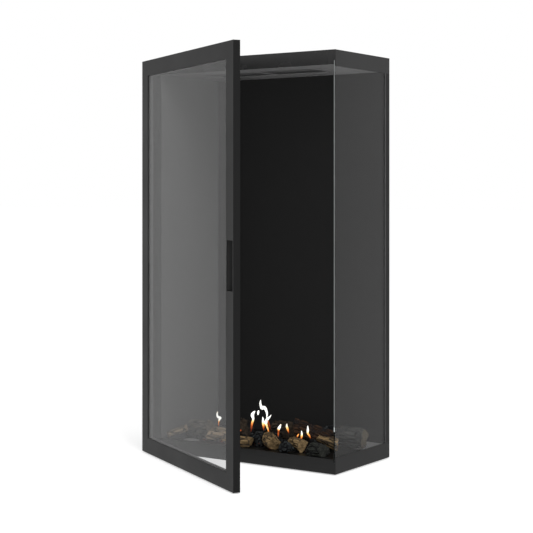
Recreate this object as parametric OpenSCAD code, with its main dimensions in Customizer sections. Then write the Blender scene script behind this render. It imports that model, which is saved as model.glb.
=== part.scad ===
// Corner fireplace: a tall gas fire with a glazed door in front and one fixed pane
// on the right. Millimetres, +Z up, +X right, +Y to the back. The origin is the
// middle of the underside. The door is drawn standing open at door_open.

/* [Casing] */
// Width of the casing
unit_w = 643; // [600:1:760]
// Depth of the casing without the door
unit_d = 301; // [285:1:380]
// Height of the casing without the base plate
unit_h = 1150; // [950:1:1400]
// Thickness of the casing sheet
sheet_t = 2; // [1.5:0.1:2.5]
// Height of the bands above and below the fire chamber
band_h = 40; // [38:1:60]
// Width of the left jamb, which holds the left wall's insulation
jamb_w = 45; // [35:1:70]
// Depth of the back wall with its insulation
back_gap = 15; // [12:0.5:30]
// Thickness of the base plate that the casing stands on
base_t = 3; // [2:0.5:8]
// Distance of the base plate's edge from the casing's edge
base_inset = 25; // [20:1:45]

/* [Floor fixings] */
// Distance between the fixing holes across the width
fixing_w = 520; // [440:1:530]
// Distance between the fixing holes across the depth
fixing_d = 220; // [200:1:222]
// Diameter of the fixing holes
fixing_hole_d = 9; // [6:0.5:12]

/* [Side window] */
// Thickness of the side pane
side_glass_t = 4; // [3:0.5:5]
// Thickness of the trims outside the pane
side_trim_t = 1; // [0.8:0.1:2.5]
// Height of the top and bottom trims
side_trim_h = 45; // [42:1:60]
// Width of the rear trim
side_trim_w = 23; // [18:1:40]
// How far the pane runs past the chamber's floor, ceiling and rear trim's edge
glass_cover = 10; // [6:0.5:14]
// Thickness of the glazing tape
tape_t = 0.5; // [0.3:0.1:1]

/* [Door] */
// Thickness of the door
door_t = 19.5; // [19:0.5:26]
// Width of the door's frame, seen from the front
frame_w = 45; // [45:1:60]
// Gap between the closed door and the casing
door_gap = 2.5; // [2:0.1:4]
// Angle at which the door stands open
door_open = 29.8; // [0:0.1:60]
// Thickness of the door pane
door_glass_t = 4; // [3:0.5:5]
// How far the frame laps over the door pane
glass_lap = 3.5; // [2:0.5:4]
// Thickness of the glass beads behind the pane
bead_t = 1.5; // [1:0.1:2]
// Width of the woven seal on the back of the door
seal_w = 7; // [5:0.5:9]

/* [Finger pull] */
// Width of the finger pull's opening
pull_w = 37; // [25:1:37]
// Height of the finger pull's opening
pull_h = 130; // [80:1:200]
// Depth of the finger pull, from the door's face
pull_d = 15.5; // [10:0.5:15.5]
// Wall of the pressed cup
pull_wall = 1; // [0.8:0.1:1]

/* [Hinges] */
// Height of one hinge
hinge_h = 60; // [40:1:90]
// Distance from the casing's ends to the outer hinges
hinge_inset = 100; // [60:1:200]
// Diameter of the hinge barrel
barrel_d = 7.6; // [7:0.1:7.8]
// Diameter of the hinge pin
pin_d = 5; // [4:0.1:5]
// Width of the leaf on the casing
leaf_w = 32; // [24:1:50]
// Thickness of the leaves
leaf_t = 1.5; // [1.2:0.1:1.6]

/* [Flue] */
// Inner diameter of the flue collar
flue_d = 150.5; // [100:0.5:160]
// Height of the flue collar, with its flange
flue_h = 24; // [15:1:24]
// Width of the collar's flange
flue_flange_w = 20; // [12:1:30]
// Width of each exhaust opening in the ceiling
exhaust_w = 178; // [120:1:190]
// Depth of each exhaust opening
exhaust_d = 118; // [80:1:140]
// Width of the web between the exhaust openings
exhaust_web = 15; // [10:1:40]
// Space between the ceiling and the plate above the openings
baffle_gap = 6; // [4:1:10]

/* [Burner] */
// Width of the burner pan's opening
pan_w = 440; // [300:1:450]
// Depth of the burner pan's opening
pan_l = 180; // [140:1:190]
// Height of the burner pan
pan_h = 26; // [24:1:28]
// Diameter of the burner ports
port_d = 3.2; // [2:0.1:5]
// Distance between the burner ports
port_pitch = 22; // [16:1:40]
// Inner diameter of the gas inlet, for a 15 mm pipe
inlet_d = 15; // [12:0.5:16]

/* [Logs] */
// Sides of a log's section
log_sides = 20; // [10:1:24]
// Rings along a log
log_rings = 11; // [5:1:12]
// Slant of a log's ends
log_slant = 0.4; // [0:0.05:0.5]

/* [Hidden] */
$fn = 48;

// Small clearances
fit = 0.2;          // between sheets that are slipped together
edge_gap = 0.5;     // between glass and metal
run_fit = 0.05;     // radial, between a pin and the knuckle that turns on it
thin_t = 1.5;       // sheet of the burner pan, the baffle and the pilot's bracket

// Outer faces of the casing and levels of the chamber
x0 = -unit_w / 2;
x1 = unit_w / 2;
y0 = -unit_d / 2;
y1 = unit_d / 2;
z0 = base_t;
z1 = base_t + unit_h;
z_mid = (z0 + z1) / 2;
floor_z = z0 + band_h;
ceil_z = z1 - band_h;

// Inner faces of the chamber
left_x = x0 + jamb_w;
back_y = y1 - back_gap;
trim_x = x1 - side_trim_t;
glass_x = trim_x - tape_t;
glass_in = glass_x - side_glass_t;
sill_x = glass_in - edge_gap;
chamber_w = sill_x - left_x;
chamber_d = back_y - y0;
flange_w = 12;      // width of the inward flanges that carry floor and ceiling
board_gap = 3;      // air gap between the left casing and its board

// Panes
glass_z0 = floor_z - glass_cover;
glass_z1 = ceil_z + glass_cover;
glass_y1 = y1 - side_trim_w + glass_cover;
block_t = 2;        // height of the setting blocks under the side pane
block_l = 30;       // length of a setting block

// Door, drawn closed
face_y = y0 - door_gap - door_t;
door_back = y0 - door_gap;
tape_y = face_y + sheet_t;
pane_y = tape_y + tape_t;
bead_y = pane_y + door_glass_t + tape_t;
pane_inset = frame_w - glass_lap;
screw_inset = frame_w / 2;

// Hinges
hinge_off = max(barrel_d / 2 + 0.4, pin_d / 2 + leaf_t + 0.2);
hinge_x = x0 - hinge_off;
hinge_y = y0 - door_gap / 2;
washer_t = 1;
hinge_z = [z0 + hinge_inset, z_mid, z1 - hinge_inset];
rivet_r = 2;
rivet_head_r = 3.2;
rivet_head_t = 1.2;
rivet_z = [-hinge_h / 4, hinge_h / 4];

// Burner
pan_x = (left_x + sill_x) / 2 - 9;
pan_y = (y0 + back_y) / 2;
pan_ledge = 5;      // ledge inside the pan that carries the burner plate
pan_rim = 10;       // rim outside the pan that hangs under the floor
tube_r = 10;
tube_z = floor_z - sheet_t - pan_h + thin_t + tube_r + edge_gap;
inlet_x = pan_x - 100;

function unit(v) = v / norm(v);

// Cuboid from its lowest to its highest corner
module block(a, b) translate(a) cube(b - a);

// Square-cornered tube, open along Z
module box_tube(a, b, t) difference() {
    block(a, b);
    block([a.x + t, a.y + t, a.z - 1], [b.x - t, b.y - t, b.z + 1]);
}

// ---- Casing ----

fixing_xy = [for (x = [-1, 1], y = [-1, 1]) [x * fixing_w / 2, y * fixing_d / 2]];

module fixing_holes(za, zb)
    for (p = fixing_xy)
        translate([p.x, p.y, za]) cylinder(h = zb - za, d = fixing_hole_d);

module base_plate() color("#2b2b2c") difference() {
    block([x0 + base_inset, y0 + base_inset, 0], [x1 - base_inset, y1 - base_inset, base_t]);
    fixing_holes(-1, base_t + 1);
}

// The four walls of a band, with an inward flange at level zf. The right wall stands
// inside the pane, from zr0 to zr1.
module band_walls(za, zb, zf, zr0, zr1) {
    block([x0, y0, za], [trim_x, y0 + sheet_t, zb]);
    block([x0, y1 - sheet_t, za], [trim_x, y1, zb]);
    block([x0, y0, za], [x0 + sheet_t, y1, zb]);
    block([sill_x - sheet_t, y0, zr0], [sill_x, y1, zr1]);
    difference() {
        block([x0, y0, zf], [sill_x, y1, zf + sheet_t]);
        block([x0 + flange_w, y0 + flange_w, zf - 1],
              [sill_x - flange_w, y1 - flange_w, zf + sheet_t + 1]);
    }
}

module base_tray() color("#303031") difference() {
    union() {
        block([x0, y0, z0], [sill_x, y1, z0 + sheet_t]);
        band_walls(z0, floor_z, floor_z - 2 * sheet_t, z0, floor_z - sheet_t);
    }
    fixing_holes(z0 - 1, z0 + sheet_t + 1);
    // Slot in the front band for the pane's bare edge
    block([sill_x, y0 - 1, glass_z0 - edge_gap], [trim_x + 1, glass_y1, floor_z + 1]);
    // Hole for the gas inlet
    translate([inlet_x, y1 + 1, tube_z]) rotate([90, 0, 0])
        cylinder(h = sheet_t + 2, r = inlet_thread_r);
}

module floor_area(za, zb)
    block([x0 + sheet_t + fit, y0 + sheet_t + fit, za], [sill_x, y1 - sheet_t - fit, zb]);

module chamber_floor() color("#6e6e6e") difference() {
    floor_area(floor_z - sheet_t, floor_z);
    block([pan_x - pan_w / 2, pan_y - pan_l / 2, floor_z - sheet_t - 1],
          [pan_x + pan_w / 2, pan_y + pan_l / 2, floor_z + 1]);
    pilot_slot();
}

module back_casing() color("#303031")
    block([x0, y1 - sheet_t, floor_z], [trim_x, y1, ceil_z]);

module back_insulation() color("#cfc9ba")
    block([x0 + sheet_t + board_gap, back_y + sheet_t, floor_z],
          [post_x - fit, y1 - sheet_t - fit, ceil_z]);

module back_liner() color("#151515")
    block([left_x, back_y, floor_z], [sill_x, back_y + sheet_t, ceil_z]);

module left_casing() color("#303031") difference() {
    union() {
        block([x0, y0, floor_z], [x0 + sheet_t, y1 - sheet_t, ceil_z]);
        block([x0, y0, floor_z], [left_x, y0 + sheet_t, ceil_z]);
    }
    body_rivet_holes();
}

module left_insulation() color("#cfc9ba")
    block([x0 + sheet_t + board_gap, y0 + sheet_t + fit, floor_z],
          [left_x - sheet_t, back_y + sheet_t, ceil_z]);

module left_liner() color("#5a5a5a")
    block([left_x - sheet_t, y0 + sheet_t, floor_z], [left_x, back_y + sheet_t, ceil_z]);

post_w = 30;
post_wall = 1.5;
post_x = sill_x - post_w;
module corner_post() color("#303031")
    box_tube([post_x, back_y + sheet_t + fit, floor_z],
             [sill_x, y1 - sheet_t - fit, ceil_z], post_wall);

module top_casing() color("#3a3a3b") difference() {
    union() {
        block([x0, y0, z1 - sheet_t], [trim_x, y1, z1]);
        band_walls(ceil_z, z1, ceil_z + sheet_t, ceil_z + sheet_t, z1);
    }
    block([sill_x, y0 - 1, ceil_z - 1], [trim_x + 1, glass_y1, glass_z1 + edge_gap]);
    translate([0, 0, z1 - sheet_t - 1]) cylinder(h = sheet_t + 2, r = collar_r + fit);
    collar_holes(z1 - sheet_t - 1, z1 + 1);
}

// ---- Ceiling and flue ----

exhaust_x = (exhaust_w + exhaust_web) / 2;
exhaust_y = (y0 + back_y) / 2 - 3;

module ceiling_plate() color("#5c5c5c") difference() {
    floor_area(ceil_z, ceil_z + sheet_t);
    for (side = [-1, 1])
        translate([side * exhaust_x, exhaust_y, ceil_z + sheet_t / 2])
            cube([exhaust_w, exhaust_d, sheet_t + 2], center = true);
}

// The baffle laps over the openings: little at the front and on the right, and further
// at the back and on the left, so that nobody sees past it
baffle_lap = 16;
baffle_x0 = -exhaust_x - exhaust_w / 2 - 4 * baffle_lap;
baffle_x1 = exhaust_x + exhaust_w / 2 + baffle_lap;
baffle_y0 = exhaust_y - exhaust_d / 2 - baffle_lap;
baffle_y1 = y1 - sheet_t - baffle_lap;
baffle_z = ceil_z + sheet_t + baffle_gap;
spacer_r = 3;
spacer_in = baffle_lap / 2;     // distance of a spacer from the baffle's edge

module at_spacers()
    for (x = [baffle_x0 + spacer_in, 0, baffle_x1 - spacer_in],
         y = [baffle_y0 + spacer_in, baffle_y1 - spacer_in])
        translate([x, y, ceil_z + sheet_t]) children();

module exhaust_baffles() color("#2c2c2c") difference() {
    block([baffle_x0, baffle_y0, baffle_z], [baffle_x1, baffle_y1, baffle_z + thin_t]);
    at_spacers() cylinder(h = 2 * baffle_gap + 2 * thin_t, r = rivet_r);
}

module baffle_spacers() color("silver") at_spacers() {
    cylinder(h = baffle_gap, r = spacer_r);
    cylinder(h = baffle_gap + thin_t + 1, r = rivet_r);
}

collar_wall = 2;
collar_r = flue_d / 2 + collar_wall;
collar_screw_count = 6;
collar_screw_r = collar_r + flue_flange_w / 2;

module collar_holes(za, zb)
    for (i = [0 : collar_screw_count - 1])
        rotate(i * 360 / collar_screw_count)
            translate([collar_screw_r, 0, za]) cylinder(h = zb - za, r = rivet_r);

module flue_collar() color("silver") difference() {
    union() {
        translate([0, 0, z1 + sheet_t - flue_h]) cylinder(h = flue_h, r = collar_r, $fn = 96);
        translate([0, 0, z1]) cylinder(h = sheet_t, r = collar_r + flue_flange_w, $fn = 96);
    }
    translate([0, 0, z1 - flue_h]) cylinder(h = 2 * flue_h, d = flue_d, $fn = 96);
    collar_holes(z1 - 1, z1 + sheet_t + 1);
}

// Screws of the flue collar and rivets of the casing's hinge leaves
module casing_fasteners() color("silver") {
    for (i = [0 : collar_screw_count - 1])
        rotate(i * 360 / collar_screw_count) translate([collar_screw_r, 0, 0]) {
            translate([0, 0, z1 + sheet_t]) cylinder(h = rivet_head_t, r = rivet_head_r);
            translate([0, 0, z1 - 3 * sheet_t]) cylinder(h = 4 * sheet_t, r = rivet_r);
        }
    rivets_at(body_rivet_y, x0 - leaf_t - rivet_head_t, x0 - leaf_t, rivet_head_r);
    rivets_at(body_rivet_y, x0 - leaf_t, x0 + sheet_t + 1, rivet_r);
}

// ---- Side window ----

module side_glass() color("#8fa3a8", 0.35)
    block([glass_in, y0, glass_z0], [glass_x, glass_y1, glass_z1]);

// Three strips of tape between the pane and its trims
module side_glass_tape() color("#d8d2c4") difference() {
    block([glass_x, y0 + edge_gap, glass_z0], [trim_x, glass_y1, glass_z1]);
    block([glass_x - 1, y0 - 1, z0 + side_trim_h],
          [trim_x + 1, y1 - side_trim_w, z1 - side_trim_h]);
}

module setting_blocks() color("#d8d2c4")
    for (y = [y0 + 2 * block_l, y1 - 3 * block_l])
        block([glass_in, y, glass_z0 - block_t], [glass_x, y + block_l, glass_z0]);

// A trim with a shelf that runs in over the tray's or the top box's right wall
module side_trim(za, zb, shelf_z) {
    block([trim_x, y0, za], [x1, y1, zb]);
    block([sill_x, y0 + sheet_t, shelf_z], [trim_x, y1 - sheet_t, shelf_z + sheet_t]);
}

module side_trim_bottom() color("#3d3d3e")
    side_trim(z0, z0 + side_trim_h, glass_z0 - block_t - sheet_t);

module side_trim_top() color("#4a4a4b")
    side_trim(z1 - side_trim_h, z1, glass_z1 + edge_gap);

module side_trim_rear() color("#3d3d3e")
    block([trim_x, y1 - side_trim_w, z0 + side_trim_h], [x1, y1, z1 - side_trim_h]);

// ---- Burner ----

// Rectangle round the pan's opening, grown by g
module pan_area(g, za, zb)
    block([pan_x - pan_w / 2 - g, pan_y - pan_l / 2 - g, za],
          [pan_x + pan_w / 2 + g, pan_y + pan_l / 2 + g, zb]);

pan_top = floor_z - sheet_t;
module burner_pan() color("#b9bcbe") difference() {
    union() {
        pan_area(pan_rim, pan_top - thin_t, pan_top);
        pan_area(thin_t, pan_top - pan_h, pan_top);
    }
    pan_area(-pan_ledge, pan_top - thin_t - 1, pan_top + 1);
    pan_area(0, pan_top - pan_h + thin_t, pan_top - thin_t);
    translate([inlet_x, pan_y + pan_l / 2 + thin_t + 1, tube_z]) rotate([90, 0, 0])
        cylinder(h = thin_t + 2, r = tube_r);
}

port_cols = floor((pan_w - 2 * port_pitch) / port_pitch);
port_rows = floor((pan_l - 2 * port_pitch) / port_pitch);

// Burner plate with its ports in staggered rows
module burner_plate() color("#8b8d8e")
    translate([pan_x, pan_y, pan_top]) linear_extrude(sheet_t) difference() {
        square([pan_w - 2 * fit, pan_l - 2 * fit], center = true);
        for (i = [0 : port_cols - 1], j = [0 : port_rows - 1])
            translate([(i - (port_cols - 1) / 2 + (j % 2) / 2 - 0.25) * port_pitch,
                       (j - (port_rows - 1) / 2) * port_pitch])
                circle(d = port_d, $fn = 16);
    }

// Venturi tube: a bell that draws in air, and a straight tube into the pan
tube_wall = 1.2;
tube_in = 45;       // how far the tube reaches into the pan
bell_l = 14;
bell_r = 13;
tube_y0 = pan_y + pan_l / 2 - tube_in;
tube_y1 = pan_y + pan_l / 2 + thin_t + 4;

module mixing_tube() color("#b9bcbe")
    translate([inlet_x, 0, tube_z]) rotate([-90, 0, 0]) rotate_extrude()
        polygon([[tube_r - tube_wall, tube_y0], [tube_r, tube_y0], [tube_r, tube_y1],
                 [bell_r, tube_y1 + bell_l], [bell_r - tube_wall, tube_y1 + bell_l],
                 [tube_r - tube_wall, tube_y1]]);

inlet_thread_r = inlet_d / 2 + 2.5;
inlet_flange_r = inlet_thread_r + 1.8;
inlet_in = 14;      // length of the fitting inside the tray
inlet_out = 3;      // thickness of its flange outside
inlet_floor = 4;    // wall between the pipe socket and the injector's thread
injector_r = 4;

module gas_inlet() color("#b58a3a")
    translate([inlet_x, 0, tube_z]) rotate([-90, 0, 0]) difference() {
        union() {
            translate([0, 0, y1]) cylinder(h = inlet_out, r = inlet_flange_r, $fn = 6);
            translate([0, 0, y1 - inlet_in]) cylinder(h = inlet_in, r = inlet_thread_r);
            translate([0, 0, y1 - sheet_t - 5]) cylinder(h = 5, r = inlet_flange_r, $fn = 6);
        }
        translate([0, 0, y1 - inlet_in + inlet_floor]) cylinder(h = inlet_in + inlet_out, d = inlet_d);
        translate([0, 0, y1 - inlet_in - 1]) cylinder(h = inlet_floor + 2, r = injector_r);
    }

module gas_injector() color("#c9a050")
    translate([inlet_x, 0, tube_z]) rotate([-90, 0, 0]) difference() {
        union() {
            translate([0, 0, y1 - inlet_in]) cylinder(h = inlet_floor, r = injector_r);
            translate([0, 0, y1 - inlet_in - 4]) cylinder(h = 4, r = injector_r + 1.5, $fn = 6);
            translate([0, 0, y1 - inlet_in - 8]) cylinder(h = 4, r1 = 2.5, r2 = injector_r);
        }
        translate([0, 0, y1 - inlet_in - 9]) cylinder(h = 20, r = 0.9, $fn = 24);
    }

// ---- Pilot ----

pilot_x = -20;
pilot_y = pan_y + pan_l / 2 + pan_rim + 12;
pilot_h = 30;
pilot_w = 54;
pilot_l = 18;
pilot_pitch = 15;
pilot_foot = 8;     // how far the pilot's parts reach down through the floor
insulator_h = 18;   // height of the electrode's insulator above the floor

// Slot in the floor under the pilot's bracket
module pilot_slot()
    translate([pilot_x, pilot_y, floor_z])
        cube([pilot_w - 10, pilot_l - 8, 4 * sheet_t], center = true);

module pilot_at(i) translate([pilot_x + i * pilot_pitch, pilot_y, 0]) children();

module pilot_bracket() color("silver") difference() {
    translate([pilot_x, pilot_y, floor_z + thin_t / 2])
        cube([pilot_w, pilot_l, thin_t], center = true);
    for (i = [-1 : 1]) pilot_at(i) translate([0, 0, floor_z - 1]) cylinder(h = 4, r = 3);
}

module pilot_burner() color("#9a9c9e") pilot_at(0) difference() {
    union() {
        translate([0, 0, floor_z - pilot_foot]) cylinder(h = pilot_h + pilot_foot, r = 3);
        translate([0, 0, floor_z + pilot_h - 8]) cylinder(h = 8, r = 5);
    }
    translate([0, 0, floor_z - pilot_foot - 1]) cylinder(h = pilot_h + pilot_foot - 2, r = 1.8);
    translate([0, -6, floor_z + pilot_h - 3]) cube([2, 12, 4], center = true);
}

module thermocouple() color("#a8a9ab") pilot_at(-1) {
    translate([0, 0, floor_z - pilot_foot]) cylinder(h = pilot_foot + 12, r = 3);
    translate([0, 0, floor_z]) cylinder(h = pilot_h, r = 1.8);
}

module spark_electrode() color("#e6e2d8") pilot_at(1) {
    translate([0, 0, floor_z - pilot_foot]) cylinder(h = pilot_foot + insulator_h, r = 3);
    translate([0, 0, floor_z]) cylinder(h = pilot_h - 2, r = 1);
}

// ---- Logs and charcoal ----

// Heights and radii of logs and lumps are in percent of the chamber's depth, or of half
// its width where that is smaller
log_unit = min(chamber_w / 2, chamber_d) / 100;

// A place in the chamber, in percent of its width from the left liner and of its
// depth from the front, with the height above the floor
function spot(px, py, h) =
    [left_x + chamber_w * px / 100, y0 + chamber_d * py / 100, floor_z + h * log_unit];

// Faces of a solid drawn through m rings of n points, with its two end points last
function skin(m, n) = concat(
    [for (j = [0 : m - 2], i = [0 : n - 1])
        [j * n + i, (j + 1) * n + i, (j + 1) * n + (i + 1) % n]],
    [for (j = [0 : m - 2], i = [0 : n - 1])
        [j * n + i, (j + 1) * n + (i + 1) % n, j * n + (i + 1) % n]],
    [for (i = [0 : n - 1]) [m * n, i, (i + 1) % n]],
    [for (i = [0 : n - 1]) [m * n + 1, (m - 1) * n + (i + 1) % n, (m - 1) * n + i]]);

// Radius of a section with k flat sides, from 1 at the corners
function facet(a, k) = cos(180 / k) / cos((a % (360 / k)) - 180 / k);

// Swell of a log's section: lumps that drift along its length, drawn in at the ends
function swell(a, t, seed) =
    (1 + 0.07 * sin(2 * a + 97 * seed) + 0.06 * sin(3 * a + 150 * seed + 200 * t)
     + 0.04 * sin(7 * a + 61 * seed + 420 * t)) * (0.93 + 0.07 * sin(180 * t));

// Ragged slant of a log's ends, which fades towards its middle
function slant(a, t, seed) =
    (log_slant * sin(a + 70 * seed) + 0.07 * sin(5 * a + 40 * seed)) * (2 * t - 1);

// Ring of a log from a to b at the share t. What would reach below the floor is flat.
function log_ring(a, b, r, split, seed, t) =
    let(d = unit(b - a), s = unit(cross([0, 0, 1], d)), u = cross(d, s))
    [for (i = [0 : log_sides - 1])
        let(w = 360 * i / log_sides,
            q = r * swell(w, t, seed) * (1 - split + split * facet(w + 50 * seed, 3)),
            p = a + (b - a) * t + s * q * cos(w) + u * q * sin(w) + d * q * slant(w, t, seed))
        [p.x, p.y, max(p.z, floor_z)]];

// A log from a to b, thinner by taper at a. split 0 is round, 1 is a split billet with
// three sides.
module log_between(a, b, size, split, seed, taper = 0) {
    n = log_sides;
    m = log_rings;
    r = size * log_unit;
    rings = [for (j = [0 : m - 1])
        let(t = j / (m - 1)) each log_ring(a, b, r * (1 - taper * (1 - t)), split, seed, t)];
    ends = [[a.x, a.y, max(a.z, floor_z + 0.3 * r)], [b.x, b.y, max(b.z, floor_z + 0.3 * r)]];
    polyhedron(points = concat(rings, ends), faces = skin(m, n), convexity = 4);
}

// A log that lies on the floor between two places given in percent of the chamber
module log_on_floor(from, to, size, split, seed)
    let(h = 0.9 * size * (1 - split / 2))
        log_between(spot(from.x, from.y, h), spot(to.x, to.y, h), size, split, seed);

tan_wood = "#6b5438";
dark_wood = "#33291f";
grey_wood = "#4a4238";
red_wood = "#4b3426";

// The prop leans on the log behind it
module log_prop() color(tan_wood)
    log_between(spot(2.6, 5.2, 2.9), spot(9.6, 17.4, 10.5), 3.8, 0.2, 1.3);
module log_left() color(grey_wood) log_on_floor([6, 30.5], [19.7, 33], 10.1, 0.15, 2.1);
module log_tan_left() color(tan_wood) log_on_floor([24.2, 19.5], [33, 23.5], 8, 0.4, 3.7);
module log_front_left() color(tan_wood) log_on_floor([37, 10.2], [51.2, 9.4], 7.2, 0.5, 4.4);
module log_split() color(tan_wood) log_on_floor([57.4, 21.5], [64.8, 8.4], 9.5, 0.5, 5.2);
module log_front_mid() color(tan_wood) log_on_floor([68.6, 27.5], [79.2, 14.6], 8.1, 0.45, 6.9);
module log_bark() color(dark_wood) log_on_floor([83.4, 12.4], [92, 9.6], 8, 0.3, 7.3);

// The branch on the right and the stub and the thick log behind it slope to the right
module log_front_right() color(tan_wood)
    log_between(spot(82.6, 31.5, 12.4), spot(91.6, 35.5, 7), 7.8, 0.4, 8.6, 0.5);
module log_stub() color(red_wood)
    log_between(spot(62.5, 55, 15.4), spot(81.8, 57.8, 5.8), 9.2, 0.25, 10.4);
module log_long() color(grey_wood)
    log_between(spot(86.2, 61, 11.6), spot(96, 65.6, 9.6), 12.2, 0.2, 9.1);
module log_back() color(dark_wood) log_on_floor([45, 68.7], [55.6, 66.6], 11.2, 0.25, 11.8);
module log_left_back() color(dark_wood) log_on_floor([25.5, 61], [32, 57.5], 10.6, 0.25, 12.5);

// A lump of charcoal, drawn out along X by stretch, with its foot flat on the floor at
// the place px, py in percent of the chamber
lump_sides = 9;
lump_rings = 5;
module lump(px, py, size, stretch, seed) {
    n = lump_sides;
    m = lump_rings;
    p = spot(px, py, 0.7 * size);
    r = size * log_unit;
    rings = [for (j = [1 : m], i = [0 : n - 1])
        let(w = 360 * i / n, e = -90 + 180 * j / (m + 1),
            q = r * (1 + 0.12 * sin(2 * w + 80 * seed + 3 * e) + 0.08 * sin(5 * w + 33 * seed)))
        [p.x + stretch * q * cos(e) * cos(w), p.y + 0.8 * q * cos(e) * sin(w),
         max(p.z + r * sin(e), floor_z + 0.01 * j)]];
    poles = [[p.x, p.y, floor_z], [p.x, p.y, p.z + r]];
    polyhedron(points = concat(rings, poles), faces = skin(m, n), convexity = 3);
}

// Lumps of charcoal: place, size and stretch
lumps = [
    [51.5, 24, 8.6, 1], [72, 6.4, 6.2, 1.5], [74.5, 81, 10, 1.1], [37, 28, 4.6, 1],
    [43.5, 37, 5.2, 1], [29, 42, 4.9, 1.1], [19, 52, 5.6, 1], [10, 56, 4.9, 1],
    [53, 46, 5.6, 1.1], [71.4, 42, 4.2, 1], [44.8, 22.5, 3.4, 1], [88, 90, 4.2, 1.2],
    [60, 86, 4.6, 1], [26, 82, 4.9, 1.2], [63.2, 30, 4.7, 1], [40.5, 52, 4.9, 1],
    [55, 91, 4.2, 1.2], [14, 75, 5.2, 1.1], [36, 80, 4.2, 1], [77.2, 38.4, 6.2, 0.75]
];

module charcoal() color("#222528")
    for (k = [0 : len(lumps) - 1]) lump(lumps[k][0], lumps[k][1], lumps[k][2], lumps[k][3], k);

// ---- Hinges ----

module barrel(za, zb, bore_r) difference() {
    translate([hinge_x, hinge_y, za]) cylinder(h = zb - za, d = barrel_d);
    translate([hinge_x, hinge_y, za - 1]) cylinder(h = zb - za + 2, r = bore_r);
}

// Rivets along X, through the left edge at the depth y
module rivets_at(y, xa, xb, r)
    for (z = hinge_z, dz = rivet_z)
        translate([xa, y, z + dz]) rotate([0, 90, 0]) cylinder(h = xb - xa, r = r, $fn = 24);

body_rivet_y = y0 + leaf_w * 0.6;
door_rivet_y = (face_y + hinge_y - barrel_d / 2) / 2;
leaf_clear = barrel_d / 2 + 0.7;

module body_rivet_holes() rivets_at(body_rivet_y, x0 - leaf_t - 1, x0 + sheet_t + 1, rivet_r);
module door_rivet_holes() rivets_at(door_rivet_y, x0 - leaf_t - 1, x0 + sheet_t + 1, rivet_r);

module hinge_body_leaves() color("#3a3a3b") difference() {
    union() for (z = hinge_z) {
        barrel(z - hinge_h / 2, z - washer_t / 2, pin_d / 2);
        block([x0 - leaf_t, hinge_y, z - hinge_h / 2], [x0, y0 + leaf_w, z - washer_t / 2]);
        block([x0 - leaf_t, hinge_y + leaf_clear, z - hinge_h / 2], [x0, y0 + leaf_w, z + hinge_h / 2]);
    }
    body_rivet_holes();
}

module hinge_door_leaves() color("#3a3a3b") door_pose() difference() {
    union() for (z = hinge_z) {
        barrel(z + washer_t / 2, z + hinge_h / 2, pin_d / 2 + run_fit);
        block([x0 - leaf_t, face_y + 1, z + washer_t / 2], [x0, hinge_y, z + hinge_h / 2]);
        block([x0 - leaf_t, face_y + 1, z - hinge_h / 2], [x0, hinge_y - leaf_clear, z + hinge_h / 2]);
    }
    door_rivet_holes();
}

// Pins, which stay in the casing's knuckles
module hinge_pins() color("silver")
    for (z = hinge_z) translate([hinge_x, hinge_y, z - hinge_h / 2]) {
        cylinder(h = hinge_h - 3, d = pin_d);
        translate([0, 0, -2]) cylinder(h = 2, d = barrel_d - 0.6);
    }

module hinge_washers() color("#b58a3a")
    for (z = hinge_z) translate([hinge_x, hinge_y, z - washer_t / 2]) difference() {
        cylinder(h = washer_t - 0.1, d = barrel_d);
        translate([0, 0, -1]) cylinder(h = washer_t + 2, r = pin_d / 2 + run_fit);
    }

// ---- Door, drawn closed and then turned about the hinge ----

module door_pose()
    translate([hinge_x, hinge_y, 0]) rotate(-door_open) translate([-hinge_x, -hinge_y, 0])
        children();

// Corner k of the door's outline moved in by a: 0 bottom left, then round to the left
function corner(k, a) = [
    (k == 0 || k == 3) ? x0 + a : x1 - a,
    (k == 0 || k == 1) ? z0 + a : z1 - a];

// Mitred strip of the frame on side k, from a to b inside the door's edge
module strip(k, a, b, ya, yb)
    translate([0, yb, 0]) rotate([90, 0, 0]) linear_extrude(yb - ya)
        polygon([corner(k, a), corner((k + 1) % 4, a), corner((k + 1) % 4, b), corner(k, b)]);

// Rectangular ring from a to b inside the door's edge
module ring(a, b, ya, yb)
    translate([0, yb, 0]) rotate([90, 0, 0]) linear_extrude(yb - ya) difference() {
        polygon([for (k = [0 : 3]) corner(k, a)]);
        polygon([for (k = [0 : 3]) corner(k, b)]);
    }

// Screws through the glass beads: places on side k, at shares of its length
function screw_spots(k) =
    let(p = corner(k, screw_inset), q = corner((k + 1) % 4, screw_inset))
    [for (s = [0.14, 0.37, 0.63, 0.86]) p + (q - p) * s];

screw_r = 1.6;
boss_r = 4;
module along_y(p, ya, yb, ra, rb)
    translate([p.x, ya, p.y]) rotate([-90, 0, 0]) cylinder(h = yb - ya, r1 = ra, r2 = rb, $fn = 24);

// One rail or stile: folded face and edge, with the bosses for the bead screws
module frame_side(k) difference() {
    union() {
        strip(k, 0, frame_w, face_y, face_y + sheet_t);
        strip(k, 0, sheet_t, face_y + sheet_t, door_back);
        for (p = screw_spots(k)) along_y(p, face_y + sheet_t, door_back - bead_t, boss_r, boss_r);
    }
    for (p = screw_spots(k)) along_y(p, face_y + sheet_t + 1, door_back, screw_r, screw_r);
}

// Places of the magnets on the rails, near the free edge
catch_spots = [for (z = [z0, z1]) [x1 - 2 * frame_w, z + (z == z0 ? 1 : -1) * screw_inset]];
magnet_r = 6;
magnet_t = 5;
magnet_proud = 1;   // how far a magnet stands out of the door's back

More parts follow.
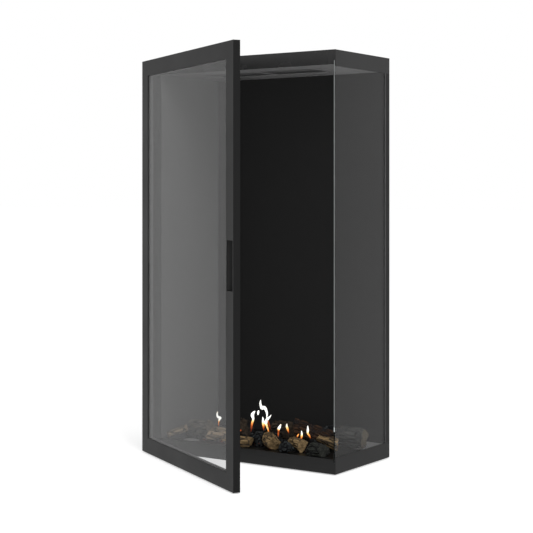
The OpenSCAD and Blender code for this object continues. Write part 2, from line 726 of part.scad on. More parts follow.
// Glass bead: a lip on the pane and a cover on the back, with countersunk holes
module bead(k) difference() {
    union() {
        strip(k, frame_w - bead_t, frame_w, bead_y, door_back);
        strip(k, sheet_t + fit, frame_w, door_back - bead_t, door_back);
    }
    for (p = screw_spots(k))
        along_y(p, door_back - bead_t, door_back, screw_r + run_fit, screw_r + bead_t + run_fit);
    for (p = catch_spots)
        along_y(p, door_back - 2 * bead_t, door_back + 1, magnet_r + run_fit, magnet_r + run_fit);
}

pull_x = x1 - sheet_t - pull_wall - pull_w;
module pull_opening(g, ya, yb)
    block([pull_x - g, ya, z_mid - pull_h / 2 - g], [pull_x + pull_w + g, yb, z_mid + pull_h / 2 + g]);

module door_bottom_rail() color("#404041") door_pose() frame_side(0);
module door_top_rail() color("#404041") door_pose() frame_side(2);
module door_hinge_stile() color("#404041") door_pose() difference() {
    frame_side(3);
    door_rivet_holes();
}
module door_latch_stile() color("#404041") door_pose() difference() {
    frame_side(1);
    pull_opening(0, face_y - 1, face_y + sheet_t + 1);
}

module pull_cup() color("#262627") door_pose() difference() {
    pull_opening(pull_wall, face_y + sheet_t, face_y + pull_d + pull_wall);
    pull_opening(0, face_y, face_y + pull_d);
}

module door_glass() color("#8fa3a8", 0.35) door_pose()
    block([x0 + pane_inset, pane_y, z0 + pane_inset],
          [x1 - pane_inset, pane_y + door_glass_t, z1 - pane_inset]);

module door_glass_tape() color("#202020") door_pose() {
    ring(pane_inset, frame_w, tape_y, pane_y);
    ring(pane_inset + 1, frame_w, pane_y + door_glass_t, bead_y);
}

module glass_beads_short() color("#363637") door_pose() {
    bead(0);
    bead(2);
}
module glass_beads_long() color("#363637") door_pose() {
    bead(1);
    bead(3);
}

seal_inset = 4;
seal_t = 2;
module door_seal() color("#1c1c1c") door_pose()
    ring(seal_inset, seal_inset + seal_w, door_back, door_back + seal_t);

// Magnets that hold the closed door on the casing's bands, each with a rim inside
module catch_magnets() color("#8a8c8e") door_pose()
    for (p = catch_spots) {
        along_y(p, door_back + magnet_proud - magnet_t, door_back + magnet_proud, magnet_r, magnet_r);
        along_y(p, door_back - bead_t - 2, door_back - bead_t, magnet_r + 2, magnet_r + 2);
    }

// Countersunk screws of the glass beads and the rivets of the door's hinge leaves
module door_fasteners() color("silver") door_pose() {
    for (k = [0 : 3], p = screw_spots(k)) {
        along_y(p, door_back - bead_t, door_back, screw_r, screw_r + bead_t);
        along_y(p, face_y + sheet_t + 1.5, door_back - bead_t, screw_r, screw_r);
    }
    rivets_at(door_rivet_y, x0 - leaf_t - rivet_head_t, x0 - leaf_t, rivet_head_r);
    rivets_at(door_rivet_y, x0 - leaf_t, x0 + sheet_t + 1, rivet_r);
}

base_plate();
base_tray();
chamber_floor();
back_casing();
back_insulation();
back_liner();
left_casing();
left_insulation();
left_liner();
corner_post();
top_casing();
ceiling_plate();
exhaust_baffles();
baffle_spacers();
flue_collar();
casing_fasteners();
side_glass();
side_glass_tape();
setting_blocks();
side_trim_top();
side_trim_bottom();
side_trim_rear();
burner_pan();
burner_plate();
mixing_tube();
gas_inlet();
gas_injector();
pilot_bracket();
pilot_burner();
thermocouple();
spark_electrode();
log_prop();
log_left();
log_tan_left();
log_front_left();
log_split();
log_front_mid();
log_bark();
log_front_right();
log_long();
log_stub();
log_back();
log_left_back();
charcoal();
hinge_body_leaves();
hinge_pins();
hinge_washers();
door_top_rail();
door_bottom_rail();
door_hinge_stile();
door_latch_stile();
door_glass();
door_glass_tape();
glass_beads_short();
glass_beads_long();
pull_cup();
door_seal();
catch_magnets();
hinge_door_leaves();
door_fasteners();
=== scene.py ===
# %% [markdown]
# # A corner gas fireplace
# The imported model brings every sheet, pane, screw and log of the fireplace as plain solids.
# This lesson dresses them: sheet metal gets softened folds and a powder coat, the panes get
# real glass, the moulded logs get bark and grain, and the burner gets its flames.

# %% Load the frame
import math

import bmesh
import bpy
import numpy as np
from mathutils import Matrix, Vector, noise


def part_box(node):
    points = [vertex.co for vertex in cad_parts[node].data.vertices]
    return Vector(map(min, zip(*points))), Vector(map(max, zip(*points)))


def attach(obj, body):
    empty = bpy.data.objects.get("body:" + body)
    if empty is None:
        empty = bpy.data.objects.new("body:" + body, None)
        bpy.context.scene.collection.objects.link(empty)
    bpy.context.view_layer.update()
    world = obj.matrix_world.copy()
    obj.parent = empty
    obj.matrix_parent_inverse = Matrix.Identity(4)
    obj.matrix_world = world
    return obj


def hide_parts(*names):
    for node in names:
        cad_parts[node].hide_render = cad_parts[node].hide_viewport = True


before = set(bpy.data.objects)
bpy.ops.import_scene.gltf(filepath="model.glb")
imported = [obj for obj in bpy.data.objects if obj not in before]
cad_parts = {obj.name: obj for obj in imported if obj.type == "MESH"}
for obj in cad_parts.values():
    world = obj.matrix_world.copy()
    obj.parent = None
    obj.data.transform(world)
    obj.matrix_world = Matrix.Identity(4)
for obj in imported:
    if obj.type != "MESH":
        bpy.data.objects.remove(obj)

for leftover in ("Cube", "Light", "Camera"):
    if leftover in bpy.data.objects:
        bpy.data.objects.remove(bpy.data.objects[leftover])
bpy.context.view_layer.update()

# %% [markdown]
# ## The camera
# The camera stands level, a little above half the height of the fireplace, about 34 degrees
# round to the right of its front. A level camera keeps every upright edge upright, and the
# vertical shift brings the fireplace back into the middle of the picture.

# %% Camera
CAMERA_PLACE = (2.23408, -3.30977, 0.75768)
CAMERA_TURN = math.radians(34.079)
SENSOR_WIDTH = 36           # millimetres, as the focal length is
FOCAL_LENGTH = 92.219
VERTICAL_SHIFT = -0.1333


def new_object(name, data):
    """An object of this mesh, lamp or camera, in the scene."""
    made = bpy.data.objects.new(name, data)
    bpy.context.scene.collection.objects.link(made)
    return made


lens = bpy.data.cameras.new("camera")
lens.sensor_width = SENSOR_WIDTH
lens.lens = FOCAL_LENGTH
lens.shift_y = VERTICAL_SHIFT
camera = new_object("camera", lens)
camera.location = CAMERA_PLACE
camera.rotation_euler = (math.pi / 2, 0, CAMERA_TURN)
bpy.context.scene.camera = camera
bpy.context.scene.view_settings.view_transform = "Standard"
print("camera", round(Vector(CAMERA_PLACE).length, 2), "m from the middle of the base")

# %% [markdown]
# ## Helpers for node trees
# Shader trees and geometry trees are built the same way: a node is put in, its sockets are
# given a value or a link, and the next node takes its output. One helper does that for both
# kinds of tree, and a second one makes a group with named sockets. The others are the steps
# that come again and again: a sum, a range laid over another, a noise, a ramp, a mixed colour.

# %% Node helpers
def put(tree, kind, inputs=None, **settings):
    """A new node whose inputs are values, or sockets to link from."""
    node = tree.nodes.new(kind)
    for name, value in settings.items():
        setattr(node, name, value)
    for name, value in (inputs or {}).items():
        if isinstance(value, bpy.types.NodeSocket):
            tree.links.new(value, node.inputs[name])
        else:
            node.inputs[name].default_value = value
    return node


def new_group(name, kind, inputs, outputs):
    """A node group with named sockets, the values given to it and its results."""
    group = bpy.data.node_groups.new(name, kind)
    sockets = [(*row, "INPUT") for row in inputs] + [(*row, None, "OUTPUT") for row in outputs]
    for label, kind_of_value, value, way in sockets:
        socket = group.interface.new_socket(name=label, in_out=way, socket_type="NodeSocket" + kind_of_value)
        if value is not None:
            socket.default_value = value
    return group, group.nodes.new("NodeGroupInput").outputs, group.nodes.new("NodeGroupOutput").inputs


def link_all(tree, inputs, **values):
    """Links each value to the input of its name."""
    for label, value in values.items():
        tree.links.new(value, inputs[label.replace("_", " ")])


def calc(tree, operation, *values, use_clamp=False):
    """The result of one sum on numbers."""
    node = put(tree, "ShaderNodeMath", dict(enumerate(values)), operation=operation, use_clamp=use_clamp)
    return node.outputs[0]


def vector_calc(tree, operation, *values, output=0):
    """The result of one sum on vectors."""
    return put(tree, "ShaderNodeVectorMath", dict(enumerate(values)), operation=operation).outputs[output]


def scaled(tree, vector, factor):
    """A vector or a colour times a number."""
    return put(tree, "ShaderNodeVectorMath", {0: vector, "Scale": factor}, operation="SCALE").outputs[0]


def laid_over(tree, value, low, high, to_low=0.0, to_high=1.0):
    """A value whose range from low to high is laid over another range."""
    return put(tree, "ShaderNodeMapRange", {"Value": value, "From Min": low, "From Max": high,
                                            "To Min": to_low, "To Max": to_high}).outputs["Result"]


def object_place(tree):
    """The place on a piece, in metres."""
    return put(tree, "ShaderNodeTexCoord").outputs["Object"]


def noise_value(tree, where, scale, detail):
    """The value of a noise at a place."""
    node = put(tree, "ShaderNodeTexNoise", {"Vector": where, "Scale": scale, "Detail": detail})
    return node.outputs["Fac"]


def kept_value(tree, name, output="Fac"):
    """A value that a mesh keeps for each of its points."""
    return put(tree, "ShaderNodeAttribute", attribute_name=name).outputs[output]


def mixed_colour(tree, factor, first, second):
    """The colour between two colours."""
    return put(tree, "ShaderNodeMix", {0: factor, 6: first, 7: second}, data_type="RGBA").outputs[2]


def ramp(tree, factor, stops):
    """A colour ramp with stops of (place, colour or grey)."""
    node = put(tree, "ShaderNodeValToRGB", {"Fac": factor})
    points = node.color_ramp.elements
    while len(points) < len(stops):
        points.new(0.5)
    for point, (place, colour) in zip(points, stops):
        point.position = place
        point.color = (*colour, 1) if isinstance(colour, tuple) else (colour,) * 3 + (1,)
    return node.outputs["Color"]


# %% [markdown]
# ## Studio
# A pale floor runs out to the horizon under a white sky. The sky lights the fireplace softly
# from all around, and the rays that meet the camera, a gloss or a pane see it as plain white.
# The floor has a faint glow for the camera and is plain white in a gloss, so that it meets the
# sky without a line.
# One large lamp high on the right gives the coat of paint its slow fade from top to bottom.

# %% World
SKY_LIGHT = 0.62
WHITE = (1, 1, 1, 1)

world = bpy.data.worlds.new("studio")
world.use_nodes = True
bpy.context.scene.world = world
sky = world.node_tree
sky.nodes.clear()
rays = put(sky, "ShaderNodeLightPath").outputs
seen = calc(sky, "MAXIMUM", rays["Is Camera Ray"], rays["Is Glossy Ray"])
seen = calc(sky, "MAXIMUM", seen, rays["Is Transmission Ray"])
strength = laid_over(sky, seen, 0.0, 1.0, SKY_LIGHT, 1.0)
light = put(sky, "ShaderNodeBackground", {"Color": WHITE, "Strength": strength})
put(sky, "ShaderNodeOutputWorld", {"Surface": light.outputs[0]})
print("sky lights at", SKY_LIGHT)

# %% Lamps
# Name, place, target, width in metres and power in watts of each soft box.
SOFT_BOXES = [("key", (2.6, -1.6, 3.0), (0.1, 0.0, 0.7), 1.8, 70),
              ("fill", (-2.2, -3.4, 1.6), (0.0, -0.2, 0.6), 2.0, 30)]


def area_lamp(name, place, target, size, power):
    """A square soft box that faces a target and shows in no reflection."""
    data = bpy.data.lights.new(name, "AREA")
    data.size = size
    data.energy = power
    lamp = new_object(name, data)
    lamp.location = place
    lamp.rotation_euler = (Vector(target) - Vector(place)).to_track_quat("-Z", "Y").to_euler()
    lamp.visible_glossy = False
    lamp.visible_camera = False
    lamp.visible_transmission = False
    return lamp


for soft_box in SOFT_BOXES:
    area_lamp(*soft_box)
print(len(SOFT_BOXES), "soft boxes")

# %% Lamp above the ceiling
DUCT_MIDDLE = (-0.03, 0.02)
DUCT_WIDTH = 0.5
DUCT_DEPTH = 0.24
DUCT_POWER = 0.1
LAMP_LIFT = 0.0005          # keeps the lamp clear of the ceiling plate

ceiling_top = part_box("ceiling_plate")[1][2]
duct_lamp = area_lamp("duct", (*DUCT_MIDDLE, ceiling_top + LAMP_LIFT), (*DUCT_MIDDLE, 2 * ceiling_top),
                      DUCT_WIDTH, DUCT_POWER)
duct_lamp.data.shape = "RECTANGLE"
duct_lamp.data.size_y = DUCT_DEPTH
print("one lamp lights the plate over the exhaust openings")

# %% Floor
FLOOR_REACH = 60.0
FLOOR_PAPER = (0.9, 0.9, 0.9, 1)
FLOOR_GLOW = 0.45

floor_mesh = bpy.data.meshes.new("floor")
corners = [(-1, -1), (1, -1), (1, 1), (-1, 1)]
floor_mesh.from_pydata([(x * FLOOR_REACH, y * FLOOR_REACH, 0) for x, y in corners], [], [(0, 1, 2, 3)])
floor = new_object("floor", floor_mesh)

paper = bpy.data.materials.new("floor")
paper.use_nodes = True
tree = paper.node_tree
tree.nodes.clear()
rays = put(tree, "ShaderNodeLightPath").outputs
seen = calc(tree, "MAXIMUM", rays["Is Camera Ray"], rays["Is Transmission Ray"])
pale = put(tree, "ShaderNodeBsdfDiffuse", {"Color": FLOOR_PAPER})
lift = calc(tree, "MULTIPLY", seen, FLOOR_GLOW)
glow = put(tree, "ShaderNodeEmission", {"Color": WHITE, "Strength": lift})
both = put(tree, "ShaderNodeAddShader", {0: pale.outputs[0], 1: glow.outputs[0]})
mirrored = put(tree, "ShaderNodeEmission", {"Color": WHITE, "Strength": 1.0})
either = put(tree, "ShaderNodeMixShader", {0: rays["Is Glossy Ray"], 1: both.outputs[0],
                                           2: mirrored.outputs[0]})
put(tree, "ShaderNodeOutputMaterial", {"Surface": either.outputs[0]})
floor_mesh.materials.append(paper)
print("floor", 2 * FLOOR_REACH, "m wide")

# %% [markdown]
# ## Powder coat
# The casing and the door are sheet steel with a satin powder coat. Close up, the coat has a
# fine orange peel, and handling leaves faint cloudy patches in its gloss. Both are noise on
# Object coordinates, at the real scale. The effect is a group, because the casing, the door,
# the finger pull and the chamber's walls all use it with their own values.

# %% Coat group
FINISH = [("Color", "Color"), ("Roughness", "Float"), ("Height", "Float")]
CLOUDS, SPECKS, PEEL = 7.0, 420.0, 1300.0       # noise scales, per metre

coat, given, result = new_group(
    "powder_coat", "ShaderNodeTree",
    [("Color", "Color", None), ("Cloud", "Float", 0.1), ("Roughness", "Float", 0.45),
     ("Spread", "Float", 0.06)], FINISH)
where = object_place(coat)
wide = laid_over(coat, noise_value(coat, where, CLOUDS, 4.0), 0.3, 0.7, -1.0, 1.0)
fine = laid_over(coat, noise_value(coat, where, SPECKS, 3.0), 0.3, 0.7, -0.5, 0.5)
share = calc(coat, "MULTIPLY_ADD", calc(coat, "ADD", wide, fine), given["Cloud"], 1.0)
link_all(coat, result, Color=scaled(coat, given["Color"], share),
         Roughness=calc(coat, "MULTIPLY_ADD", wide, given["Spread"], given["Roughness"]),
         Height=noise_value(coat, where, PEEL, 2.0))
print("powder coat group with", len(coat.nodes), "nodes")

# %% Coated materials
GLOSS_SPREAD = 0.05
PEEL_DEPTH = 0.0002
BACK_PAINTED_LIGHT = 0.0065


def principled(name, **sockets):
    """A new material, its tree and its shader with plain values on its sockets."""
    made = bpy.data.materials.new(name)
    made.use_nodes = True
    shader = made.node_tree.nodes["Principled BSDF"]
    for label, value in sockets.items():
        shader.inputs[label.replace("_", " ")].default_value = value
    return made, made.node_tree, shader


def wire(tree, shader, height, strength, depth, **values):
    """Links values to the sockets of a shader, and a height to its normal."""
    bumps = put(tree, "ShaderNodeBump", {"Height": height, "Strength": strength, "Distance": depth})
    link_all(tree, shader.inputs, Normal=bumps.outputs["Normal"], **values)


def wire_finish(tree, shader, group, inputs, bump):
    """Places a finish group with its own values and links its results."""
    finish = put(tree, "ShaderNodeGroup", inputs, node_tree=group).outputs
    wire(tree, shader, finish["Height"], bump, PEEL_DEPTH, Base_Color=finish["Color"],
         Roughness=finish["Roughness"])


def coated(name, grey, roughness, ior, cloud=0.06, bump=0.05):
    """A powder coat of one grey."""
    made, tree, shader = principled(name, IOR=ior)
    wire_finish(tree, shader, coat, {"Color": (grey, grey, grey, 1), "Cloud": cloud,
                                     "Roughness": roughness, "Spread": GLOSS_SPREAD}, bump)
    return made


# The first eight greys are all one anthracite powder coat. Each band and face gets its own lighter or darker
# grey, which paints in the light and shade that fall on it.
casing_coat = coated("casing_coat", 0.010, 0.3, 1.28)
top_coat = coated("top_band_coat", 0.014, 0.26, 1.4)
side_coat = coated("side_trim_coat", 0.0135, 0.4, 1.28)
trim_coat = coated("trim_coat", 0.006, 0.42, 1.21)
tray_coat = coated("tray_coat", 0.013, 0.3, 1.28)
low_trim_coat = coated("low_trim_coat", 0.0145, 0.42, 1.21)
door_coat = coated("door_coat", 0.017, 0.5, 1.22)
end_shaded_coat = coated("door_end_coat", 0.012, 0.5, 1.18)
bead_coat = coated("bead_coat", 0.075, 0.55, 1.2)
pull_coat = coated("pull_coat", 0.055, 0.55, 1.2)
back_coat = coated("back_coat", 0.0038, 0.55, 1.18, cloud=0.05, bump=0.1)
# The back liner glows faintly: painted light that brightens it evenly where the ceiling shades its top.
back_coat.node_tree.nodes["Principled BSDF"].inputs["Emission Color"].default_value = WHITE
back_coat.node_tree.nodes["Principled BSDF"].inputs["Emission Strength"].default_value = BACK_PAINTED_LIGHT
wall_coat = coated("wall_coat", 0.1, 0.6, 1.15, cloud=0.02, bump=0.01)
# The jamb grey is far lighter than the casing's coat: painted light for the front faces of the jamb.
jamb_lit_coat = coated("jamb_lit_coat", 0.06, 0.6, 1.15, cloud=0.02, bump=0.01)
ceiling_coat = coated("ceiling_coat", 0.2, 0.6, 1.15, cloud=0.04)
# The baffle grey is the ceiling's grey made darker: painted shade on the plate and spacers over the exhaust
# openings.
baffle_shaded_coat = coated("baffle_shaded_coat", 0.095, 0.6, 1.15, cloud=0.04)
print("fifteen coats")

# %% [markdown]
# ## Folded sheet metal
# A folded or sheared sheet never has a knife edge: its corners are rounded by about half a
# millimetre, and that thin round catches the light. Each coated solid is copied, its loose
# triangles are joined into whole faces, and a Bevel modifier rounds the sharp edges. A
# Weighted Normal modifier keeps the wide faces flat next to those rounds. The copy then
# stands for the solid.

# %% Softened copies
WELD = 1e-5                 # points closer than this are one point
FACING = 0.8                # how squarely a face looks in a direction, from 0 to 1


def joined_faces(node):
    """A bmesh of a solid whose loose triangles are merged into whole flat faces."""
    sheet = bmesh.new()
    sheet.from_mesh(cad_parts[node].data)
    bmesh.ops.remove_doubles(sheet, verts=sheet.verts, dist=WELD)
    bmesh.ops.dissolve_limit(sheet, angle_limit=math.radians(0.5), verts=sheet.verts, edges=sheet.edges)
    for face in sheet.faces:
        face.smooth = True
    return sheet


def bmesh_to_mesh(made, name):
    """The mesh of a bmesh, which is freed."""
    mesh = bpy.data.meshes.new(name)
    made.to_mesh(mesh)
    made.free()
    return mesh


def new_piece(name, mesh, material, body):
    """An object of this mesh and material, riding on a body."""
    mesh.materials.clear()
    mesh.materials.append(material)
    piece = new_object(name, mesh)
    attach(piece, body)
    return piece


def finished_mesh(carrier):
    """The mesh that the modifiers of an object make; the object is removed."""
    name = carrier.name
    shown = carrier.evaluated_get(bpy.context.evaluated_depsgraph_get())
    finished = bpy.data.meshes.new_from_object(shown)
    bpy.data.objects.remove(carrier)
    finished.name = name
    return finished


def with_modifiers(mesh, name, modifiers):
    """The mesh with modifiers of (kind, settings) applied."""
    carrier = new_object(name, mesh)
    for kind, settings in modifiers:
        modifier = carrier.modifiers.new(kind.lower(), kind)
        for label, value in settings.items():
            setattr(modifier, label, value)
    return finished_mesh(carrier)


def softened(node, material, body, radius=0.0005):
    """A copy of a sheet-metal solid with rounded edges."""
    name = node + "_sheet"
    rounding = {"width": radius, "segments": 2, "limit_method": "ANGLE",
                "angle_limit": math.radians(40), "use_clamp_overlap": True}
    mesh = with_modifiers(bmesh_to_mesh(joined_faces(node), name), name,
                          [("BEVEL", rounding), ("WEIGHTED_NORMAL", {"weight": 90})])
    piece = new_piece(name, mesh, material, body)
    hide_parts(node)


def painted_light_by_facing(node, material, direction):
    """Gives the faces of a softened sheet that look in a direction another material, a lighter or darker
    grey: painted light or shade on those faces.
    """
    mesh = bpy.data.objects[node + "_sheet"].data
    mesh.materials.append(material)
    for face in mesh.polygons:
        face.material_index = 1 if face.normal.dot(direction) > FACING else 0


# %% Casing and door frame
CASING = [("base_plate", casing_coat), ("base_tray", tray_coat), ("back_casing", casing_coat),
          ("left_casing", casing_coat), ("top_casing", top_coat), ("side_trim_top", side_coat),
          ("side_trim_bottom", low_trim_coat), ("side_trim_rear", trim_coat)]
DOOR_FRAME = ["door_top_rail", "door_bottom_rail", "door_hinge_stile", "door_latch_stile"]
DOOR_TURN = Matrix.Rotation(math.radians(-29.8), 3, "Z")    # the door as the model stands
THIN_ROUND = 0.0003
FORWARD = Vector((0, -1, 0))

for node, material in CASING:
    softened(node, material, "firebox")
for node in DOOR_FRAME:
    softened(node, door_coat, "door")
for node in ("glass_beads_short", "glass_beads_long"):
    softened(node, bead_coat, "door", THIN_ROUND)
softened("pull_cup", pull_coat, "door", THIN_ROUND)
# Painted shade on the end face of the door. Painted light on the front faces of the rear trim, in the
# ceiling's paler grey, and on the front faces of the jamb.
painted_light_by_facing("door_latch_stile", end_shaded_coat, DOOR_TURN @ Vector((1, 0, 0)))
painted_light_by_facing("side_trim_rear", ceiling_coat, FORWARD)
painted_light_by_facing("left_casing", jamb_lit_coat, FORWARD)
print("softened", len(CASING) + len(DOOR_FRAME) + 3, "sheets")

# %% Materials of solids that keep their shape
LEFT_WALL_SHADE = 0.5
SHADED_UP_TO = -0.25        # painted shade darkens the ceiling left of here,
UNSHADED_FROM = -0.1           # and fades out up to here


def dress(material, *nodes):
    """Gives CAD nodes a finished material."""
    for node in nodes:
        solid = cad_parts[node]
        for index in range(len(solid.material_slots)):
            solid.material_slots[index].material = material


dress(casing_coat, "hinge_body_leaves", "corner_post")
dress(door_coat, "hinge_door_leaves")
dress(back_coat, "back_liner")
dress(wall_coat, "left_liner")
dress(ceiling_coat, "ceiling_plate")
dress(baffle_shaded_coat, "exhaust_baffles", "baffle_spacers")

# Painted shade: the ceiling's grey darkens towards the left wall, the wall's shade painted in. The rear
# trim's front faces share this coat but lie outside the fade.
tree = ceiling_coat.node_tree
base = tree.nodes["Principled BSDF"].inputs["Base Color"]
across = put(tree, "ShaderNodeSeparateXYZ", {0: object_place(tree)}).outputs["X"]
wall_shade = laid_over(tree, across, SHADED_UP_TO, UNSHADED_FROM, LEFT_WALL_SHADE, 1.0)
tree.links.new(scaled(tree, base.links[0].from_socket, wall_shade), base)
print("liners and hinges dressed")

# %% [markdown]
# ## Glass
# Both panes are ceramic glass with a coat against glare, so their reflection is weaker than
# that of window glass: a low index of refraction gives it. The pane of the door is a little
# grey and reflects more. Shadow rays pass straight through, which lets the soft light into
# the chamber without caustics.

# %% Glass
WIPES = (6, 6, 30)          # wipe marks per metre: they run along the pane
MOST_HAZE = 0.02
CLEAR = (0.96, 0.96, 0.96, 1)


def pane_glass(name, tint, ior):
    """Clear glass of one grey tint, with faint wipe marks in its gloss."""
    made, tree, shader = principled(name, Transmission_Weight=1.0, IOR=ior, Base_Color=(tint, tint, tint, 1))
    wiped = vector_calc(tree, "MULTIPLY", object_place(tree), WIPES)
    haze = laid_over(tree, noise_value(tree, wiped, 1.0, 3.0), 0.5, 0.8, 0.0, MOST_HAZE)
    tree.links.new(haze, shader.inputs["Roughness"])
    through = put(tree, "ShaderNodeBsdfTransparent", {"Color": CLEAR})
    rays = put(tree, "ShaderNodeLightPath").outputs
    passing = calc(tree, "MAXIMUM", rays["Is Shadow Ray"], rays["Is Diffuse Ray"])
    surface = put(tree, "ShaderNodeMixShader", {0: passing, 1: shader.outputs[0], 2: through.outputs[0]})
    tree.links.new(surface.outputs[0], tree.nodes["Material Output"].inputs["Surface"])
    return made


dress(pane_glass("side_pane_glass", 0.98, 1.15), "side_glass")
dress(pane_glass("door_pane_glass", 0.68, 1.2), "door_glass")
print("two panes")

# %% [markdown]
# ## Ground edges of the side pane
# The side pane has no frame at the front. Its edge is ground and bevelled, so it doesn't look
# clear like the face: it shows as a pale line all the way up. Beside the logs the edge is
# painted dark, a painted reflection of the dark logs, under one short painted highlight. A thin
# strip with a frosted finish lies on that edge, with its own small bevels.

# %% Ground edge
GRIND = 0.0002
GRIND_MARGIN = 0.0008
PAINTED_LIGHT_LEVELS = (0.03, 0.14)     # the shades below run between these two heights
PAINTED_LIGHT_STOPS = [(0.0, 0.3), (0.1, 0.04), (0.798, 0.04), (0.815, 3.3), (0.9, 3.3), (0.925, 1.0)]

ground, tree, shader = principled("ground_glass_edge", Roughness=0.35, IOR=1.4)
where = object_place(tree)
grit = noise_value(tree, where, 900.0, 3.0)
tint = ramp(tree, grit, [(0.3, (0.2, 0.212, 0.21)), (0.7, (0.27, 0.285, 0.283))])
level = put(tree, "ShaderNodeSeparateXYZ", {0: where}).outputs["Z"]
# Painted light on the edge: dark at its foot with little gloss, a painted reflection of the logs, then a
# short painted highlight, then the edge's own pale grey.
shade = ramp(tree, laid_over(tree, level, *PAINTED_LIGHT_LEVELS), PAINTED_LIGHT_STOPS)
wire(tree, shader, grit, 0.2, PEEL_DEPTH, Base_Color=vector_calc(tree, "MULTIPLY", tint, shade),
     Specular_IOR_Level=calc(tree, "MULTIPLY", shade, 0.5, use_clamp=True))


def box_mesh(name, low, high):
    """A closed box from its lowest to its highest corner."""
    box = bmesh.new()
    bmesh.ops.create_cube(box, size=1)
    for vert in box.verts:
        vert.co = Vector(low[i] if vert.co[i] < 0 else high[i] for i in range(3))
    return bmesh_to_mesh(box, name)


pane_low, pane_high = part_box("side_glass")
strip = box_mesh("ground_edge", (pane_low[0] + GRIND_MARGIN, pane_low[1] - GRIND, pane_low[2]),
                 (pane_high[0] - GRIND_MARGIN, pane_low[1], pane_high[2]))
strip = with_modifiers(strip, "ground_edge", [("BEVEL", {"width": GRIND * 0.45, "segments": 1})])
new_piece("ground_edge", strip, ground, "firebox")
print("ground edge", round(pane_high[2] - pane_low[2], 3), "m tall")

# %% [markdown]
# ## Bare metals
# The chamber's floor is a satin steel sheet, brushed along its length. The burner is plain
# stainless sheet, coloured by heat. Screws, pins and the flue collar are zinc plated, and the
# gas fitting is turned brass. They share one group: fine streaks along one direction, which
# change the tone, the gloss and the height a little.

# %% Brushed group
HEAT_STAIN = (0.2, 0.15, 0.1, 1)

brushed, given, result = new_group(
    "brushed_metal", "ShaderNodeTree",
    [("Color", "Color", None), ("Streak", "Vector", (6.0, 700.0, 700.0)), ("Contrast", "Float", 0.18),
     ("Roughness", "Float", 0.38), ("Stain", "Color", HEAT_STAIN), ("Stained", "Float", 0.2)], FINISH)
where = object_place(brushed)
lines = noise_value(brushed, vector_calc(brushed, "MULTIPLY", where, given["Streak"]), 1.0, 4.0)
change = laid_over(brushed, lines, 0.3, 0.7, -1.0, 1.0)
share = calc(brushed, "MULTIPLY_ADD", change, given["Contrast"], 1.0)
spots = laid_over(brushed, noise_value(brushed, where, 16.0, 5.0), 0.5, 0.75)
amount = calc(brushed, "MULTIPLY", spots, given["Stained"])
toned = mixed_colour(brushed, amount, scaled(brushed, given["Color"], share), given["Stain"])
link_all(brushed, result, Color=toned, Height=lines,
         Roughness=calc(brushed, "MULTIPLY_ADD", change, 0.05, given["Roughness"]))
print("brushed metal group with", len(brushed.nodes), "nodes")

# %% Metal materials
STREAK_BUMP = 0.12


def metal(name, colour, roughness, streak=(6, 700, 700), contrast=0.18, stained=0.2):
    """A bare metal with streaks along the direction whose streak value is smallest."""
    made, tree, shader = principled(name, Metallic=1.0)
    wire_finish(tree, shader, brushed, {"Color": (*colour, 1), "Streak": streak, "Contrast": contrast,
                                        "Roughness": roughness, "Stain": HEAT_STAIN, "Stained": stained},
                STREAK_BUMP)
    return made


floor_steel = metal("floor_steel", (0.74, 0.74, 0.745), 0.4, stained=0.1)
burner_steel = metal("burner_steel", (0.45, 0.44, 0.42), 0.4, stained=0.5)
pilot_steel = metal("pilot_steel", (0.5, 0.49, 0.47), 0.35, streak=(700, 700, 12), stained=0.3)
zinc = metal("zinc_plate", (0.62, 0.62, 0.63), 0.34, streak=(90, 90, 90), contrast=0.08, stained=0.05)
black_steel = metal("black_screws", (0.09, 0.09, 0.092), 0.42, streak=(300, 300, 300), stained=0.05)
brass = metal("turned_brass", (0.72, 0.5, 0.22), 0.3, streak=(500, 12, 500), stained=0.15)
dress(floor_steel, "chamber_floor", "burner_plate")
dress(burner_steel, "burner_pan", "mixing_tube")
dress(pilot_steel, "pilot_bracket", "pilot_burner", "thermocouple")
dress(zinc, "flue_collar", "hinge_pins", "catch_magnets")
dress(brass, "gas_inlet", "gas_injector", "hinge_washers")
print("six metals")

# %% [markdown]
# ## Screws and rivets
# The solids of the screws are plain stepped cylinders, so each one is turned again from a
# profile: rivets with a domed head, pan heads with a hexagon socket on the flue collar and
# countersunk heads with the same socket on the beads that hold the pane. The place, the axis
# and the length of each come from its own lump of the solid.

# %% Lumps of a solid
def lumps_of(node):
    """The points of each separate lump of a solid."""
    block = joined_faces(node)
    left = dict.fromkeys(block.verts)       # in the order of the mesh
    lumps = []
    while left:
        waiting = [left.popitem()[0]]
        reached = []
        while waiting:
            vert = waiting.pop()
            reached.append(vert.co.copy())
            for edge in vert.link_edges:
                other = edge.other_vert(vert)
                if other in left:
                    del left[other]
                    waiting.append(other)
        lumps.append(reached)
    block.free()
    return lumps


def closed_mesh(name, points, faces):
    """A mesh whose faces all look outwards."""
    mesh = bpy.data.meshes.new(name)
    mesh.from_pydata(points, [], faces)
    outward = bmesh.new()
    outward.from_mesh(mesh)
    bmesh.ops.recalc_face_normals(outward, faces=outward.faces)
    outward.to_mesh(mesh)
    outward.free()
    return mesh


